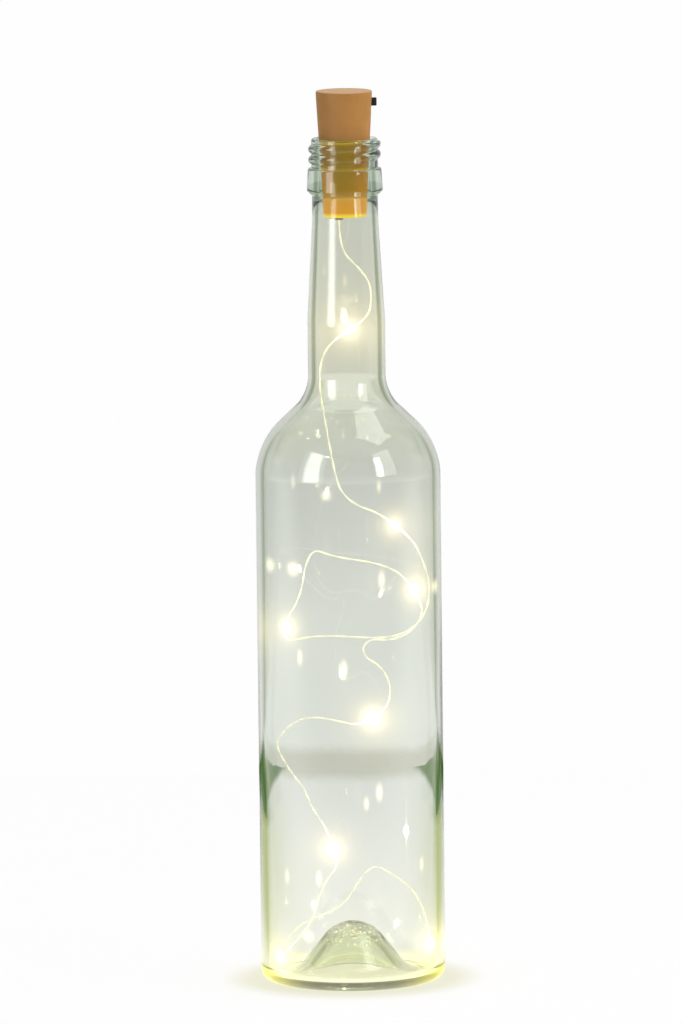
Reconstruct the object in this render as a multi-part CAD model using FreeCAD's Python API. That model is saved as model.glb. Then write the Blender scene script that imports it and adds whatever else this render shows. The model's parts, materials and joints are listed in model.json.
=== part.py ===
import FreeCAD, Part
import math
import os

# Cork bottle light: a clear glass bottle with a battery stopper and a string of eight light drops.
# Millimetres, +Z up. The origin is the middle of the ring that the bottle stands on.
# +X points to the switch on the stopper, and -Y to the front.

V = FreeCAD.Vector
CENTRE = V(0, 0, 0)
UP = V(0, 0, 1)
ALONG_X = V(1, 0, 0)
ALONG_Y = V(0, 1, 0)
FULL_TURN_DEG = 360.0

# Bottle, outside
bottle_height = 339.0
body_radius = 37.0
heel_round = 5.0
bearing_ring_width = 2.0
shoulder_corner_height = 216.5
shoulder_round = 28.0
shoulder_slope_deg = 43.5
neck_foot_radius = 15.5
neck_foot_round = 8.0
neck_taper_foot_height = 266.0
neck_taper_top_height = 306.0

# Bottle, the finish round its mouth
finish_depth = 22.8
finish_wall = 2.9
collar_height = 11.0
collar_projection = 2.0
collar_draw = 0.5
collar_round = 0.8
lip_round = 1.2

# Bottle, inside and underneath
body_wall = 3.1
neck_wall = 2.8
bore_straight_depth = 17.0
floor_thickness = 3.6
inner_heel_round = 3.5
punt_wall = 4.2
punt_slope_deg = 52.0
punt_rim_rise = 1.0
dome_height = 23.4
dome_corner_radius = 7.2
dome_round = 14.4
dome_foot_round = 10.0
heel_band_count = 3
shoulder_band_count = 3
inner_shoulder_band_count = 2
neck_foot_band_count = 2
dome_band_count = 2
foot_band_count = 1
edge_band_count = 1
sharp_band_count = 1

# Stopper: a hollow tapered plug
stopper_length = 50.0
stopper_insertion = 31.0
stopper_top_radius = 11.3
stopper_bottom_radius = 8.5
stopper_clearance = 0.16
stopper_edge_round = 0.6
shell_floor = 1.6
chamber_radius = 9.1
well_radius = 7.3

# Lid over the cells
lid_thickness = 1.6
lug_depth = 1.6
lug_thickness = 0.9
lug_clearance = 0.15
lug_width = 9.0
contact_thickness = 0.3
lid_contact_radius = 6.9

# Button cells, a standard size, and the carrier that holds three of them
cell_count = 3
cell_radius = 5.8
cell_height = 5.4
cell_cap_radius = 4.9
cell_cap_height = 0.4
cap_side_count = 16
cell_axis_x = -1.9
cell_clearance = 0.1
carrier_wall = 0.7
carrier_floor = 1.0
carrier_rim_drop = 1.1
leaf_space = 3.0
leaf_width = 3.0
leaf_slot_clearance = 0.2
leaf_tip_length = 2.0
leaf_inset = 0.6
positive_leaf_drop = 5.6
positive_leaf_reach = 1.2

# Circuit board in the rails of the carrier
board_gap = 0.9
board_thickness = 0.8
board_half_width = 4.2
board_top_gap = 2.2
board_clearance = 0.1
rail_depth = 0.8
rail_wall = 0.6
rail_lip = 0.45
rail_top_drop = 3.0
resistor_length = 2.0
resistor_width = 1.25
resistor_thickness = 0.5
resistor_drop = 10.0

# Slide switch
switch_travel = 2.0
switch_drop = 4.45
switch_body_height = 6.6
switch_body_width = 3.0
switch_body_depth = 2.3
switch_wall = 0.4
knob_height = 3.2
knob_width = 2.2
knob_projection = 2.0
knob_foot_height = 2.4
knob_foot_width = 1.8
knob_edge_round = 0.35
knob_clearance = 0.2
foot_clearance = 0.15

# Wire, its bush and the light drops on it
wire_diameter = 0.8
wire_side_count = 4
bush_radius = 1.6
bush_tip = 1.1
bush_clearance = 0.05
lead_pad_y = -2.5
lead_drop = 6.4
lead_middle_x = 2.2
lead_middle_y = -2.3
lead_middle_rise = 12.9
lead_foot_rise = 6.4
wire_exit_x = -2.4
wire_exit_y = -2.0
wire_hole_clearance = 0.02
drop_length = 5.0
drop_radius = 1.45
drop_end_radius = 0.75
drop_side_count = 12
drop_band_count = 6
chip_length = 1.6
chip_width = 0.9
chip_height = 0.6
gap_point_count = 12

overrun = 2.0
arc_share = 0.45
shared_run_share = 0.49
whole_run_share = 0.98
same_point = 1.0e-6

# Places worked out from the sizes above
stopper_base_height = bottle_height - stopper_insertion
stopper_top_height = stopper_base_height + stopper_length
rim_height = stopper_top_height - lid_thickness
shell_floor_height = stopper_base_height + shell_floor
stack_top_height = rim_height - contact_thickness
stack_bottom_height = stack_top_height - cell_count * cell_height
carrier_floor_height = stack_bottom_height - leaf_space
seat_height = carrier_floor_height - carrier_floor
carrier_radius = cell_radius + cell_clearance + carrier_wall
board_face_x = cell_axis_x + carrier_radius + board_gap
board_back_x = board_face_x + board_thickness
board_top_height = rim_height - board_top_gap
knob_centre_height = stopper_top_height - switch_drop
wire_exit_height = stopper_base_height - bush_tip

# The wire inside the stopper, from the board's foot to the bush
inner_lead_route = [
    (board_face_x + board_thickness / 2, lead_pad_y, seat_height),
    (board_face_x + board_thickness / 2, lead_pad_y, seat_height - lead_drop),
    (lead_middle_x, lead_middle_y, shell_floor_height + lead_middle_rise),
    (wire_exit_x, wire_exit_y, shell_floor_height + lead_foot_rise),
    (wire_exit_x, wire_exit_y, wire_exit_height),
]

# The free wire. A light drop sits midway between the last point of one span and the first of the next.
wire_route = [
    [
        (wire_exit_x, wire_exit_y, wire_exit_height),
        (-2.4, -2.0, 300.0),
        (-0.4, -2.1, 292.4),
        (5.2, -2.0, 287.2),
        (9.4, -1.5, 281.4),
        (10.1, -1.4, 274.4),
        (8.6, -2.8, 267.0),
    ],
    [
        (-6.2, -4.2, 258.2),
        (-10.2, -3.4, 250.2),
        (-10.6, -3.6, 240.8),
        (-9.6, -6.5, 230.4),
        (-7.6, -8.6, 219.4),
        (-5.8, -10.2, 208.7),
        (-3.6, -12.2, 199.6),
        (2.4, -14.6, 193.6),
        (12.0, -15.5, 190.6),
    ],
    [
        (24.8, -14.5, 180.0),
        (28.6, -11.6, 170.6),
        (31.5, -6.6, 161.3),
        (30.5, -10.2, 151.6),
        (25.6, -18.5, 144.8),
        (17.0, -26.3, 142.0),
        (6.5, -30.7, 142.4),
        (-5.0, -31.0, 143.4),
        (-15.0, -27.2, 142.8),
        (-22.2, -21.8, 140.4),
        (-25.4, -14.8, 140.6),
    ],
    [
        (-25.0, -2.2, 146.6),
        (-21.8, 8.5, 150.2),
        (-19.2, 15.5, 156.4),
        (-18.3, 19.7, 164.2),
        (-14.8, 23.5, 171.0),
        (-7.6, 26.4, 167.8),
        (0.8, 27.3, 166.0),
        (9.2, 26.7, 164.9),
        (16.6, 23.4, 163.0),
        (22.6, 18.2, 160.3),
    ],
    [
        (29.4, 5.8, 150.9),
        (28.4, -4.3, 146.9),
        (24.0, -14.4, 142.2),
        (15.8, -22.0, 139.9),
        (8.4, -25.8, 141.4),
        (4.7, -27.0, 138.4),
        (5.9, -27.4, 134.0),
        (11.2, -27.3, 131.0),
        (15.1, -26.8, 124.9),
        (15.4, -26.0, 117.6),
        (13.2, -24.6, 112.2),
    ],
    [
        (4.0, -25.8, 106.2),
        (-5.0, -27.0, 108.6),
        (-13.4, -25.8, 110.2),
        (-20.6, -21.8, 108.4),
        (-26.3, -14.6, 102.6),
        (-29.8, -5.0, 96.2),
        (-27.6, 5.0, 88.6),
        (-23.8, 11.8, 81.4),
        (-18.8, 16.4, 74.4),
        (-16.2, 18.7, 66.4),
        (-10.4, 20.2, 57.9),
    ],
    [
        (-5.2, 20.8, 42.7),
        (-10.8, 21.0, 36.6),
        (-14.0, 20.5, 29.2),
        (-16.2, 19.0, 21.4),
        (-21.8, 16.5, 14.0),
        (-28.6, 12.2, 7.9),
    ],
    [
        (-30.6, -4.2, 7.9),
        (-26.6, -12.2, 16.3),
        (-22.5, -17.5, 23.5),
        (-14.5, -23.4, 29.0),
        (-7.0, -25.2, 31.8),
        (-1.6, -26.0, 36.6),
        (2.6, -26.2, 44.4),
        (8.6, -25.6, 50.6),
        (15.5, -23.4, 45.8),
        (22.6, -18.8, 39.8),
        (26.8, -13.8, 32.0),
        (29.0, -9.6, 24.2),
    ],
    [
        (33.0, 1.4, 4.2),
    ],
]


def rounded_outline(corners):
    """A closed wire in the XZ plane through (radius, height) or (radius, height, rounding, bands) corners.

    A rounding is that many straight bands of its arc.
    """
    corners = [(*corner, 0, sharp_band_count)[:4] for corner in corners]
    points = [V(corner[0], 0, corner[1]) for corner in corners]
    count = len(points)
    ends, middles = [], []
    for i, corner in enumerate(points):
        rounding, bands = corners[i][2:]
        if rounding == 0:
            ends.append((corner, corner))
            middles.append([])
            continue
        inward = corner - points[i - 1]
        outward = points[(i + 1) % count] - corner
        turn = inward.getAngle(outward)
        reach = rounding * math.tan(turn / 2)
        for run, other in ((inward, corners[i - 1]), (outward, corners[(i + 1) % count])):
            share = shared_run_share if other[2] else whole_run_share
            reach = min(reach, share * run.Length)
        start = corner - V(inward).normalize() * reach
        end = corner + V(outward).normalize() * reach
        radius = reach / math.tan(turn / 2)
        centre = corner + ((start + end) * 0.5 - corner).normalize() * (radius / math.cos(turn / 2))
        axis = (start - centre).cross(end - centre)
        ends.append((start, end))
        between = []
        for step in range(1, bands):
            spin = FreeCAD.Rotation(axis, math.degrees(turn) * step / bands)
            between.append(centre + spin.multVec(start - centre))
        middles.append(between)
    edges = []
    for i in range(count):
        start, end = ends[i]
        chain = [start] + middles[i] + [end, ends[(i + 1) % count][0]]
        for a, b in zip(chain, chain[1:]):
            if not a.isEqual(b, same_point):
                edges.append(Part.LineSegment(a, b).toShape())
    return Part.Wire(edges)


def turned(corners):
    """The solid that an outline of (radius, height, rounding, bands) corners sweeps about Z."""
    return Part.Face(rounded_outline(corners)).revolve(CENTRE, UP, FULL_TURN_DEG)


def block(x_range, y_range, z_range):
    """A box between pairs of coordinates."""
    low = V(x_range[0], y_range[0], z_range[0])
    return Part.makeBox(
        x_range[1] - x_range[0], y_range[1] - y_range[0], z_range[1] - z_range[0], low
    )


def upright(radius, low, high, x=0.0, y=0.0):
    """A vertical cylinder between two heights."""
    return Part.makeCylinder(radius, high - low, V(x, y, low), UP)


def strip(points, thickness, width):
    """A bent metal strip along (x, z) points, thickness to the left of the way it runs."""
    left = []
    for i, (x, z) in enumerate(points):
        normals = []
        for a, b in ((i - 1, i), (i, i + 1)):
            if a >= 0 and b < len(points):
                run = V(points[b][0] - points[a][0], 0, points[b][1] - points[a][1])
                normals.append(V(-run.z, 0, run.x).normalize())
        mean = V(CENTRE)
        for normal in normals:
            mean = mean + normal
        mean.normalize()
        left.append(V(x, 0, z) + mean * (thickness / mean.dot(normals[0])))
    near = [V(x, 0, z) for x, z in points]
    outline = near + left[::-1]
    face = Part.Face(Part.makePolygon(outline + outline[:1]))
    solid = face.extrude(ALONG_Y * width)
    solid.translate(ALONG_Y * (-width / 2))
    return solid


def cord_path(name, points):
    """Straight runs joined by tangent arcs, each as large as its two runs allow."""
    points = [V(*p) for p in points]
    runs = [(b - a).Length for a, b in zip(points, points[1:])]
    edges, radii, at = [], [], points[0]
    for i in range(1, len(points) - 1):
        inward = (points[i] - points[i - 1]).normalize()
        outward = (points[i + 1] - points[i]).normalize()
        turn = inward.getAngle(outward)
        reach = arc_share * min(runs[i - 1], runs[i])
        radius = reach / math.tan(turn / 2)
        start = points[i] - inward * reach
        end = points[i] + outward * reach
        to_centre = ((start + end) * 0.5 - points[i]).normalize()
        middle = points[i] + to_centre * (radius / math.cos(turn / 2) - radius)
        edges.append(Part.LineSegment(at, start).toShape())
        edges.append(Part.Arc(start, middle, end).toShape())
        radii.append(radius)
        at = end
    edges.append(Part.LineSegment(at, points[-1]).toShape())
    path = Part.Wire(edges)
    print(
        f"{name}: {path.Length:.1f} mm, runs {min(runs):.1f} to {max(runs):.1f},"
        f" least radius {min(radii):.1f} mm"
    )
    return path


def wire_tube(name, points):
    """A many-sided tube along a cord's path, checked against its section times its length."""
    path = cord_path(name, points)
    along = (V(*points[1]) - V(*points[0])).normalize()
    across = along.cross(ALONG_Y if abs(along.y) < abs(along.x) else ALONG_X).normalize()
    other = along.cross(across)
    ring = []
    for i in range(wire_side_count):
        angle = 2 * math.pi * i / wire_side_count
        offset = across * math.cos(angle) + other * math.sin(angle)
        ring.append(V(*points[0]) + offset * (wire_diameter / 2))
    section = Part.makePolygon(ring + ring[:1])
    tube = path.makePipeShell([section], True, False)
    expected = Part.Face(section).Area * path.Length
    print(f"{name}: volume {tube.Volume / expected:.4f} of section times length")
    return tube


def stopper_radius(height):
    """Outer radius of the tapered stopper at a height."""
    share = (height - stopper_base_height) / stopper_length
    return stopper_bottom_radius + (stopper_top_radius - stopper_bottom_radius) * share


def make_bottle():
    """The glass: punt, heel, straight body, sloping shoulder, tapered neck and collared finish."""
    slope = math.tan(math.radians(shoulder_slope_deg))
    half_turn = math.tan(math.radians(shoulder_slope_deg) / 2)
    steep = math.radians(punt_slope_deg)
    bore_radius = stopper_radius(bottle_height) + stopper_clearance
    neck_top_radius = bore_radius + neck_wall
    finish_radius = bore_radius + finish_wall
    collar_low = bottle_height - finish_depth
    collar_radius = neck_top_radius + collar_projection
    neck_corner_height = shoulder_corner_height + (body_radius - neck_foot_radius) / slope
    inner_body = body_radius - body_wall
    inner_foot = neck_foot_radius - neck_wall
    inner_shoulder_height = shoulder_corner_height - body_wall * half_turn
    inner_neck_height = inner_shoulder_height + (inner_body - inner_foot) / slope
    punt_height = dome_height - punt_wall
    dome_foot_radius = dome_corner_radius + (dome_height - floor_thickness) / math.tan(steep)
    punt_shift = punt_wall / math.sin(steep)
    punt_corner = dome_corner_radius + punt_wall / math.tan(steep) - punt_shift
    punt_foot = dome_corner_radius + (dome_height - punt_rim_rise) / math.tan(steep) - punt_shift
    bearing_inner = body_radius - heel_round - bearing_ring_width
    return turned(
        [
            (0, punt_height),
            (punt_corner, punt_height, dome_round - punt_wall, foot_band_count),
            (punt_foot, punt_rim_rise, dome_foot_round + punt_wall, foot_band_count),
            (bearing_inner, 0),
            (body_radius, 0, heel_round, heel_band_count),
            (body_radius, shoulder_corner_height, shoulder_round, shoulder_band_count),
            (neck_foot_radius, neck_corner_height, neck_foot_round, neck_foot_band_count),
            (neck_foot_radius, neck_taper_foot_height),
            (neck_top_radius, neck_taper_top_height),
            (neck_top_radius, collar_low),
            (collar_radius, collar_low + collar_projection),
            (collar_radius - collar_draw, collar_low + collar_height, collar_round, edge_band_count),
            (finish_radius, collar_low + collar_height),
            (finish_radius, bottle_height, lip_round, edge_band_count),
            (bore_radius, bottle_height, lip_round, edge_band_count),
            (bore_radius, bottle_height - bore_straight_depth),
            (inner_foot, neck_taper_foot_height),
            (inner_foot, inner_neck_height, neck_foot_round + neck_wall, foot_band_count),
            (inner_body, inner_shoulder_height, shoulder_round - body_wall, inner_shoulder_band_count),
            (inner_body, floor_thickness, inner_heel_round, foot_band_count),
            (dome_foot_radius, floor_thickness, dome_foot_round, foot_band_count),
            (dome_corner_radius, dome_height, dome_round, dome_band_count),
            (0, dome_height),
        ]
    )


def make_stopper_shell():
    """The tapered cup with its floor, the ledge for the carrier, the switch's slot and the wire's hole."""
    shell = turned(
        [
            (0, stopper_base_height),
            (stopper_bottom_radius, stopper_base_height, stopper_edge_round, edge_band_count),
            (stopper_radius(rim_height), rim_height),
            (chamber_radius, rim_height),
            (chamber_radius, seat_height),
            (well_radius, seat_height),
            (well_radius, shell_floor_height),
            (0, shell_floor_height),
        ]
    )
    slot_half = knob_width / 2 + knob_clearance
    slot = block(
        (board_back_x, stopper_top_radius + overrun),
        (-slot_half, slot_half),
        (
            knob_centre_height - knob_height / 2 - switch_travel - knob_clearance,
            knob_centre_height + knob_height / 2 + knob_clearance,
        ),
    )
    hole = upright(
        bush_radius + bush_clearance,
        stopper_base_height - overrun,
        shell_floor_height + overrun,
        wire_exit_x,
        wire_exit_y,
    )
    return shell.cut(slot).cut(hole)


def make_battery_lid():
    """The flat top of the stopper, with two lugs that snap inside the shell."""
    lid = turned(
        [
            (0, rim_height),
            (stopper_radius(rim_height), rim_height),
            (stopper_radius(rim_height), stopper_top_height),
            (0, stopper_top_height),
        ]
    )
    lug_low = rim_height - lug_depth
    lug_outer = chamber_radius - lug_clearance
    ring = upright(lug_outer, lug_low, rim_height).cut(
        upright(lug_outer - lug_thickness, lug_low - overrun, rim_height + overrun)
    )
    lugs = ring.common(
        block(
            (-lug_width / 2, lug_width / 2),
            (-stopper_top_radius, stopper_top_radius),
            (lug_low, rim_height),
        )
    )
    return lid.fuse(lugs).removeSplitter()


def make_lid_contact():
    """The thin disc under the lid that joins the top cell to the positive leaf."""
    return upright(lid_contact_radius, stack_top_height, rim_height, cell_axis_x)


def make_battery_carrier():
    """The cup for the cells, with two rails that hold the circuit board."""
    rim = stack_top_height - carrier_rim_drop
    carrier = upright(carrier_radius, seat_height, rim, cell_axis_x)
    rail_outer = board_half_width + board_clearance + rail_wall
    rail_inner = board_half_width - rail_depth
    groove = (board_face_x - board_clearance / 2, board_back_x + board_clearance / 2)
    for side in (-1, 1):
        near, far = sorted((side * rail_inner, side * rail_outer))
        rail = block(
            (cell_axis_x, groove[1] + rail_lip), (near, far), (seat_height, rim - rail_top_drop)
        )
        carrier = carrier.fuse(rail)
    carrier = carrier.cut(
        block(
            groove,
            (-board_half_width - board_clearance, board_half_width + board_clearance),
            (seat_height - overrun, rim + overrun),
        )
    )
    carrier = carrier.cut(
        upright(
            cell_radius + cell_clearance, carrier_floor_height, rim + overrun, cell_axis_x
        )
    )
    slot_half = leaf_width / 2 + leaf_slot_clearance
    return carrier.cut(
        block(
            (cell_axis_x + cell_radius - carrier_wall, board_face_x),
            (-slot_half, slot_half),
            (carrier_floor_height, carrier_floor_height + contact_thickness + leaf_slot_clearance),
        )
    ).removeSplitter()


def make_button_cell(index):
    """One cell: a can with its smaller cap below."""
    low = stack_bottom_height + index * cell_height
    can = upright(cell_radius, low + cell_cap_height, low + cell_height, cell_axis_x)
    cap = prism(cap_side_count, cell_cap_radius, low, low + cell_cap_height)
    cap.translate(V(cell_axis_x, 0, 0))
    return can.fuse(cap).removeSplitter()


def make_negative_leaf():
    """The strip on the carrier's floor, its tongue under the cells and its tail at the board."""
    left = cell_axis_x - cell_radius + leaf_inset
    return strip(
        [
            (board_face_x, carrier_floor_height),
            (left, carrier_floor_height),
            (cell_axis_x - leaf_tip_length / 2, stack_bottom_height),
            (cell_axis_x + leaf_tip_length / 2, stack_bottom_height),
        ],
        -contact_thickness,
        leaf_width,
    )


def make_positive_leaf():
    """The bent strip from the board up to the lid's contact."""
    return strip(
        [
            (board_face_x, stack_top_height - positive_leaf_drop),
            (board_face_x, stack_top_height),
            (board_face_x - positive_leaf_reach, stack_top_height),
        ],
        contact_thickness,
        leaf_width,
    )


def make_circuit_board():
    """The upright board that carries the switch and the resistor."""
    return block(
        (board_face_x, board_back_x),
        (-board_half_width, board_half_width),
        (seat_height, board_top_height),
    )


def make_resistor():
    """The surface-mounted resistor below the switch."""
    middle = knob_centre_height - resistor_drop
    return block(
        (board_back_x, board_back_x + resistor_thickness),
        (-resistor_length / 2, resistor_length / 2),
        (middle - resistor_width / 2, middle + resistor_width / 2),
    )


def make_switch_housing():
    """The switch's box, open at the front where the knob's foot slides."""
    middle = knob_centre_height - switch_travel / 2
    box = block(
        (board_back_x, board_back_x + switch_body_depth),
        (-switch_body_width / 2, switch_body_width / 2),
        (middle - switch_body_height / 2, middle + switch_body_height / 2),
    )
    half_height = (knob_foot_height + switch_travel) / 2 + foot_clearance
    half_width = knob_foot_width / 2 + foot_clearance
    pocket = block(
        (board_back_x + switch_wall, board_back_x + switch_body_depth + overrun),
        (-half_width, half_width),
        (middle - half_height, middle + half_height),
    )
    return box.cut(pocket)


def make_switch_knob():
    """The sliding knob: a foot in the switch and a head that stands out of the stopper."""
    foot_x = board_back_x + switch_wall + foot_clearance
    head_x = board_back_x + switch_body_depth + foot_clearance
    tip_x = stopper_radius(knob_centre_height) + knob_projection
    foot = block(
        (foot_x, head_x),
        (-knob_foot_width / 2, knob_foot_width / 2),
        (knob_centre_height - knob_foot_height / 2, knob_centre_height + knob_foot_height / 2),
    )
    head = block(
        (head_x, tip_x),
        (-knob_width / 2, knob_width / 2),
        (knob_centre_height - knob_height / 2, knob_centre_height + knob_height / 2),
    )
    outer_edges = [e for e in head.Edges if e.BoundBox.XMin > tip_x - knob_edge_round]
    return foot.fuse(head.makeFillet(knob_edge_round, outer_edges))


def make_wire_bush():
    """The bush in the stopper's floor that the wire leaves through."""
    bush = upright(bush_radius, wire_exit_height, shell_floor_height, wire_exit_x, wire_exit_y)
    hole = upright(
        wire_diameter / 2 + bush_clearance,
        wire_exit_height - overrun,
        shell_floor_height + overrun,
        wire_exit_x,
        wire_exit_y,
    )
    return bush.cut(hole)


def drop_places():
    """Centre and direction of each light drop, midway between two spans of the wire."""
    places = []
    for before, after in zip(wire_route, wire_route[1:]):
        a, b = V(*before[-1]), V(*after[0])
        places.append(((a + b) * 0.5, (b - a).normalize()))
    return places


def laid_along(solid, centre, direction):
    """A solid made along +Z at the origin, turned to a direction and put in its place."""
    solid.Placement = FreeCAD.Placement(centre, FreeCAD.Rotation(UP, direction))
    return solid


def prism(sides, radius, low, high):
    """An upright prism of equal sides about Z."""
    ring = [
        V(radius * math.cos(angle), radius * math.sin(angle), low)
        for angle in (2 * math.pi * i / sides for i in range(sides))
    ]
    return Part.Face(Part.makePolygon(ring + ring[:1])).extrude(UP * (high - low))


def make_chip():
    """One light chip, at the origin, on the side of a wire that runs along Z."""
    inner = wire_diameter / 2 + wire_hole_clearance
    return block(
        (inner, inner + chip_height),
        (-chip_width / 2, chip_width / 2),
        (-chip_length / 2, chip_length / 2),
    )


def make_drop(hole_top):
    """One clear resin drop cast round its chip, with the wire's hole up to a height."""
    half = drop_length / 2
    rings = []
    for i in range(drop_band_count + 1):
        height = -half + drop_length * i / drop_band_count
        swell = math.cos(math.pi / 2 * height / half)
        radius = drop_end_radius + (drop_radius - drop_end_radius) * swell
        ring = [
            V(radius * math.cos(angle), radius * math.sin(angle), height)
            for angle in (2 * math.pi * k / drop_side_count for k in range(drop_side_count))
        ]
        rings.append(ring + ring[:1])
    faces = [Part.Face(Part.makePolygon(rings[0])), Part.Face(Part.makePolygon(rings[-1]))]
    for low, high in zip(rings, rings[1:]):
        for k in range(drop_side_count):
            corners = [low[k], low[k + 1], high[k + 1], high[k], low[k]]
            faces.append(Part.Face(Part.makePolygon(corners)))
    drop = Part.Solid(Part.Shell(faces))
    if drop.Volume < 0:
        drop.reverse()
    corner_radius = (wire_diameter / 2 + wire_hole_clearance) / math.cos(math.pi / wire_side_count)
    hole = prism(wire_side_count, corner_radius, -half - overrun, hole_top)
    return drop.cut(hole).cut(make_chip())


def least_gap(points):
    """Least clear distance between stretches of the winding that lie apart along it."""
    along, path = 0, []
    for a, b in zip(points, points[1:]):
        a, b = V(*a), V(*b)
        for step in range(gap_point_count):
            path.append((along + (b - a).Length * step / gap_point_count, a + (b - a) * (step / gap_point_count)))
        along += (b - a).Length
    apart = drop_length * 3
    gaps = [
        (p - q).Length for i, (s, p) in enumerate(path) for t, q in path[i + 1 :] if t - s > apart
    ]
    return min(gaps) - wire_diameter


def make_string():
    """The wire as one winding through all its drops, the drops and their chips, by name."""
    places = drop_places()
    points = [point for span in wire_route[:-1] for point in span]
    points.append(tuple(places[-1][0]))
    print(f"string_wire: least gap to itself {least_gap(points):.2f} mm")
    made = {"string_wire": wire_tube("string_wire", points)}
    half = drop_length / 2
    for number, (centre, direction) in enumerate(places, 1):
        hole_top = wire_hole_clearance if number == len(places) else half + overrun
        made[f"led_drop_{number}"] = laid_along(make_drop(hole_top), centre, direction)
        made[f"led_chip_{number}"] = laid_along(make_chip(), centre, direction)
    return made


def make_parts():
    """Every piece of the bottle light, by the name of its node."""
    parts = {
        "bottle": make_bottle(),
        "stopper_shell": make_stopper_shell(),
        "battery_lid": make_battery_lid(),
        "lid_contact": make_lid_contact(),
        "battery_carrier": make_battery_carrier(),
        "negative_leaf": make_negative_leaf(),
        "positive_leaf": make_positive_leaf(),
        "circuit_board": make_circuit_board(),
        "resistor": make_resistor(),
        "switch_housing": make_switch_housing(),
        "switch_knob": make_switch_knob(),
        "wire_bush": make_wire_bush(),
        "inner_lead": wire_tube("inner_lead", inner_lead_route),
    }
    for index in range(cell_count):
        parts[f"button_cell_{index + 1}"] = make_button_cell(index)
    parts.update(make_string())
    return parts


os.makedirs("parts", exist_ok=True)
for node, shape in make_parts().items():
    if not shape.isValid():
        print(f"{node}: the shape is not valid")
    shape.exportStep(f"parts/{node}.step")
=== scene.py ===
"""Looks of a glass bottle with a battery stopper and its string of lights."""

import json
import logging
import math
from dataclasses import dataclass, field
from enum import Enum
from typing import Any, Callable, Iterable

import bmesh
import bpy
from mathutils import Matrix, Vector


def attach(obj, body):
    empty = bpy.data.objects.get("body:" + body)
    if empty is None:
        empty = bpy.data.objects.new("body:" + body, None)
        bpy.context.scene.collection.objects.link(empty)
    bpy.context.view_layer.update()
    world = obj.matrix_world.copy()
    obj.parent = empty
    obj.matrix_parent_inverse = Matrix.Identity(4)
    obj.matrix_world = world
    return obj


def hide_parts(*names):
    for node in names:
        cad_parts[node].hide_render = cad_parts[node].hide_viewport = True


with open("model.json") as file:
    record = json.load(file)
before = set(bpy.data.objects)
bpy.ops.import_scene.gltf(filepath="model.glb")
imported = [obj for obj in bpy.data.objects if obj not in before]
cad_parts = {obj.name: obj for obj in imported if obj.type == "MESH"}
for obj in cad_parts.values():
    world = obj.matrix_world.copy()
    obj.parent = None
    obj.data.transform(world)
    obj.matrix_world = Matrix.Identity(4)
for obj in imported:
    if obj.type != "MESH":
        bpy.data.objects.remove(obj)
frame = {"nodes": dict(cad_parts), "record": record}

LOG = logging.getLogger("bottle_light")
MM = 0.001
Colour = tuple[float, float, float]
Span = tuple[float, float]


def about(place: float, span: Span) -> Span:
    """A span laid about a place."""
    return place + span[0], place + span[1]


class Body(Enum):
    """The bodies that a piece can ride on."""

    BOTTLE = "bottle"
    CORK_LIGHT = "cork_light"
    SWITCH = "switch_slide"
    LID = "battery_lid"


class Signal:
    """A shader socket's value in an expression, whose operators add Math nodes."""

    def __init__(self, graph: "Graph", socket: bpy.types.NodeSocket) -> None:
        """Wrap a socket.

        Args:
            graph: The graph that the socket belongs to.
            socket: The output socket.
        """
        self.graph = graph
        self.socket = socket

    def _math(self, operation: str, *values: Any) -> "Signal":
        """Add one Math node.

        Args:
            operation: The node's operation.
            values: Its inputs, signals or numbers.

        Returns:
            The node's result.
        """
        node = self.graph.node("ShaderNodeMath", {"operation": operation}, dict(enumerate(values)))
        return Signal(self.graph, node.outputs[0])

    def __add__(self, other: Any) -> "Signal":
        """Sum."""
        return self._math("ADD", self, other)

    def __radd__(self, other: Any) -> "Signal":
        """Sum, reflected."""
        return self._math("ADD", other, self)

    def __sub__(self, other: Any) -> "Signal":
        """Difference."""
        return self._math("SUBTRACT", self, other)

    def __rsub__(self, other: Any) -> "Signal":
        """Difference, reflected."""
        return self._math("SUBTRACT", other, self)

    def __mul__(self, other: Any) -> "Signal":
        """Product."""
        return self._math("MULTIPLY", self, other)

    def __rmul__(self, other: Any) -> "Signal":
        """Product, reflected."""
        return self._math("MULTIPLY", other, self)

    def __truediv__(self, other: Any) -> "Signal":
        """Quotient."""
        return self._math("DIVIDE", self, other)

    def __rtruediv__(self, other: Any) -> "Signal":
        """Quotient, reflected."""
        return self._math("DIVIDE", other, self)

    def __pow__(self, other: Any) -> "Signal":
        """Power."""
        return self._math("POWER", self, other)

    def most(self, other: Any) -> "Signal":
        """The larger of two values."""
        return self._math("MAXIMUM", self, other)

    def least(self, other: Any) -> "Signal":
        """The smaller of two values."""
        return self._math("MINIMUM", self, other)

    def size(self) -> "Signal":
        """The value without its sign."""
        return self._math("ABSOLUTE", self)

    def sine(self) -> "Signal":
        """The sine of an angle in radians."""
        return self._math("SINE", self)

    def fading(self, reach: float) -> "Signal":
        """Light at this distance from a point.

        Args:
            reach: The distance at which half the light is left.

        Returns:
            The light, 1 at the point.
        """
        return 1.0 / (self * self * (1.0 / reach**2) + 1.0)

    def between(self, low: float, high: float, start: float = 0.0, end: float = 1.0) -> "Signal":
        """A smooth step.

        Args:
            low: The value at which the step begins.
            high: The value at which it ends.
            start: What the step gives up to where it begins.
            end: What it gives from where it ends.

        Returns:
            The step.
        """
        node = self.graph.node(
            "ShaderNodeMapRange",
            {"interpolation_type": "SMOOTHSTEP"},
            {"Value": self, "From Min": low, "From Max": high, "To Min": start, "To Max": end},
        )
        return Signal(self.graph, node.outputs[0])


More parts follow.
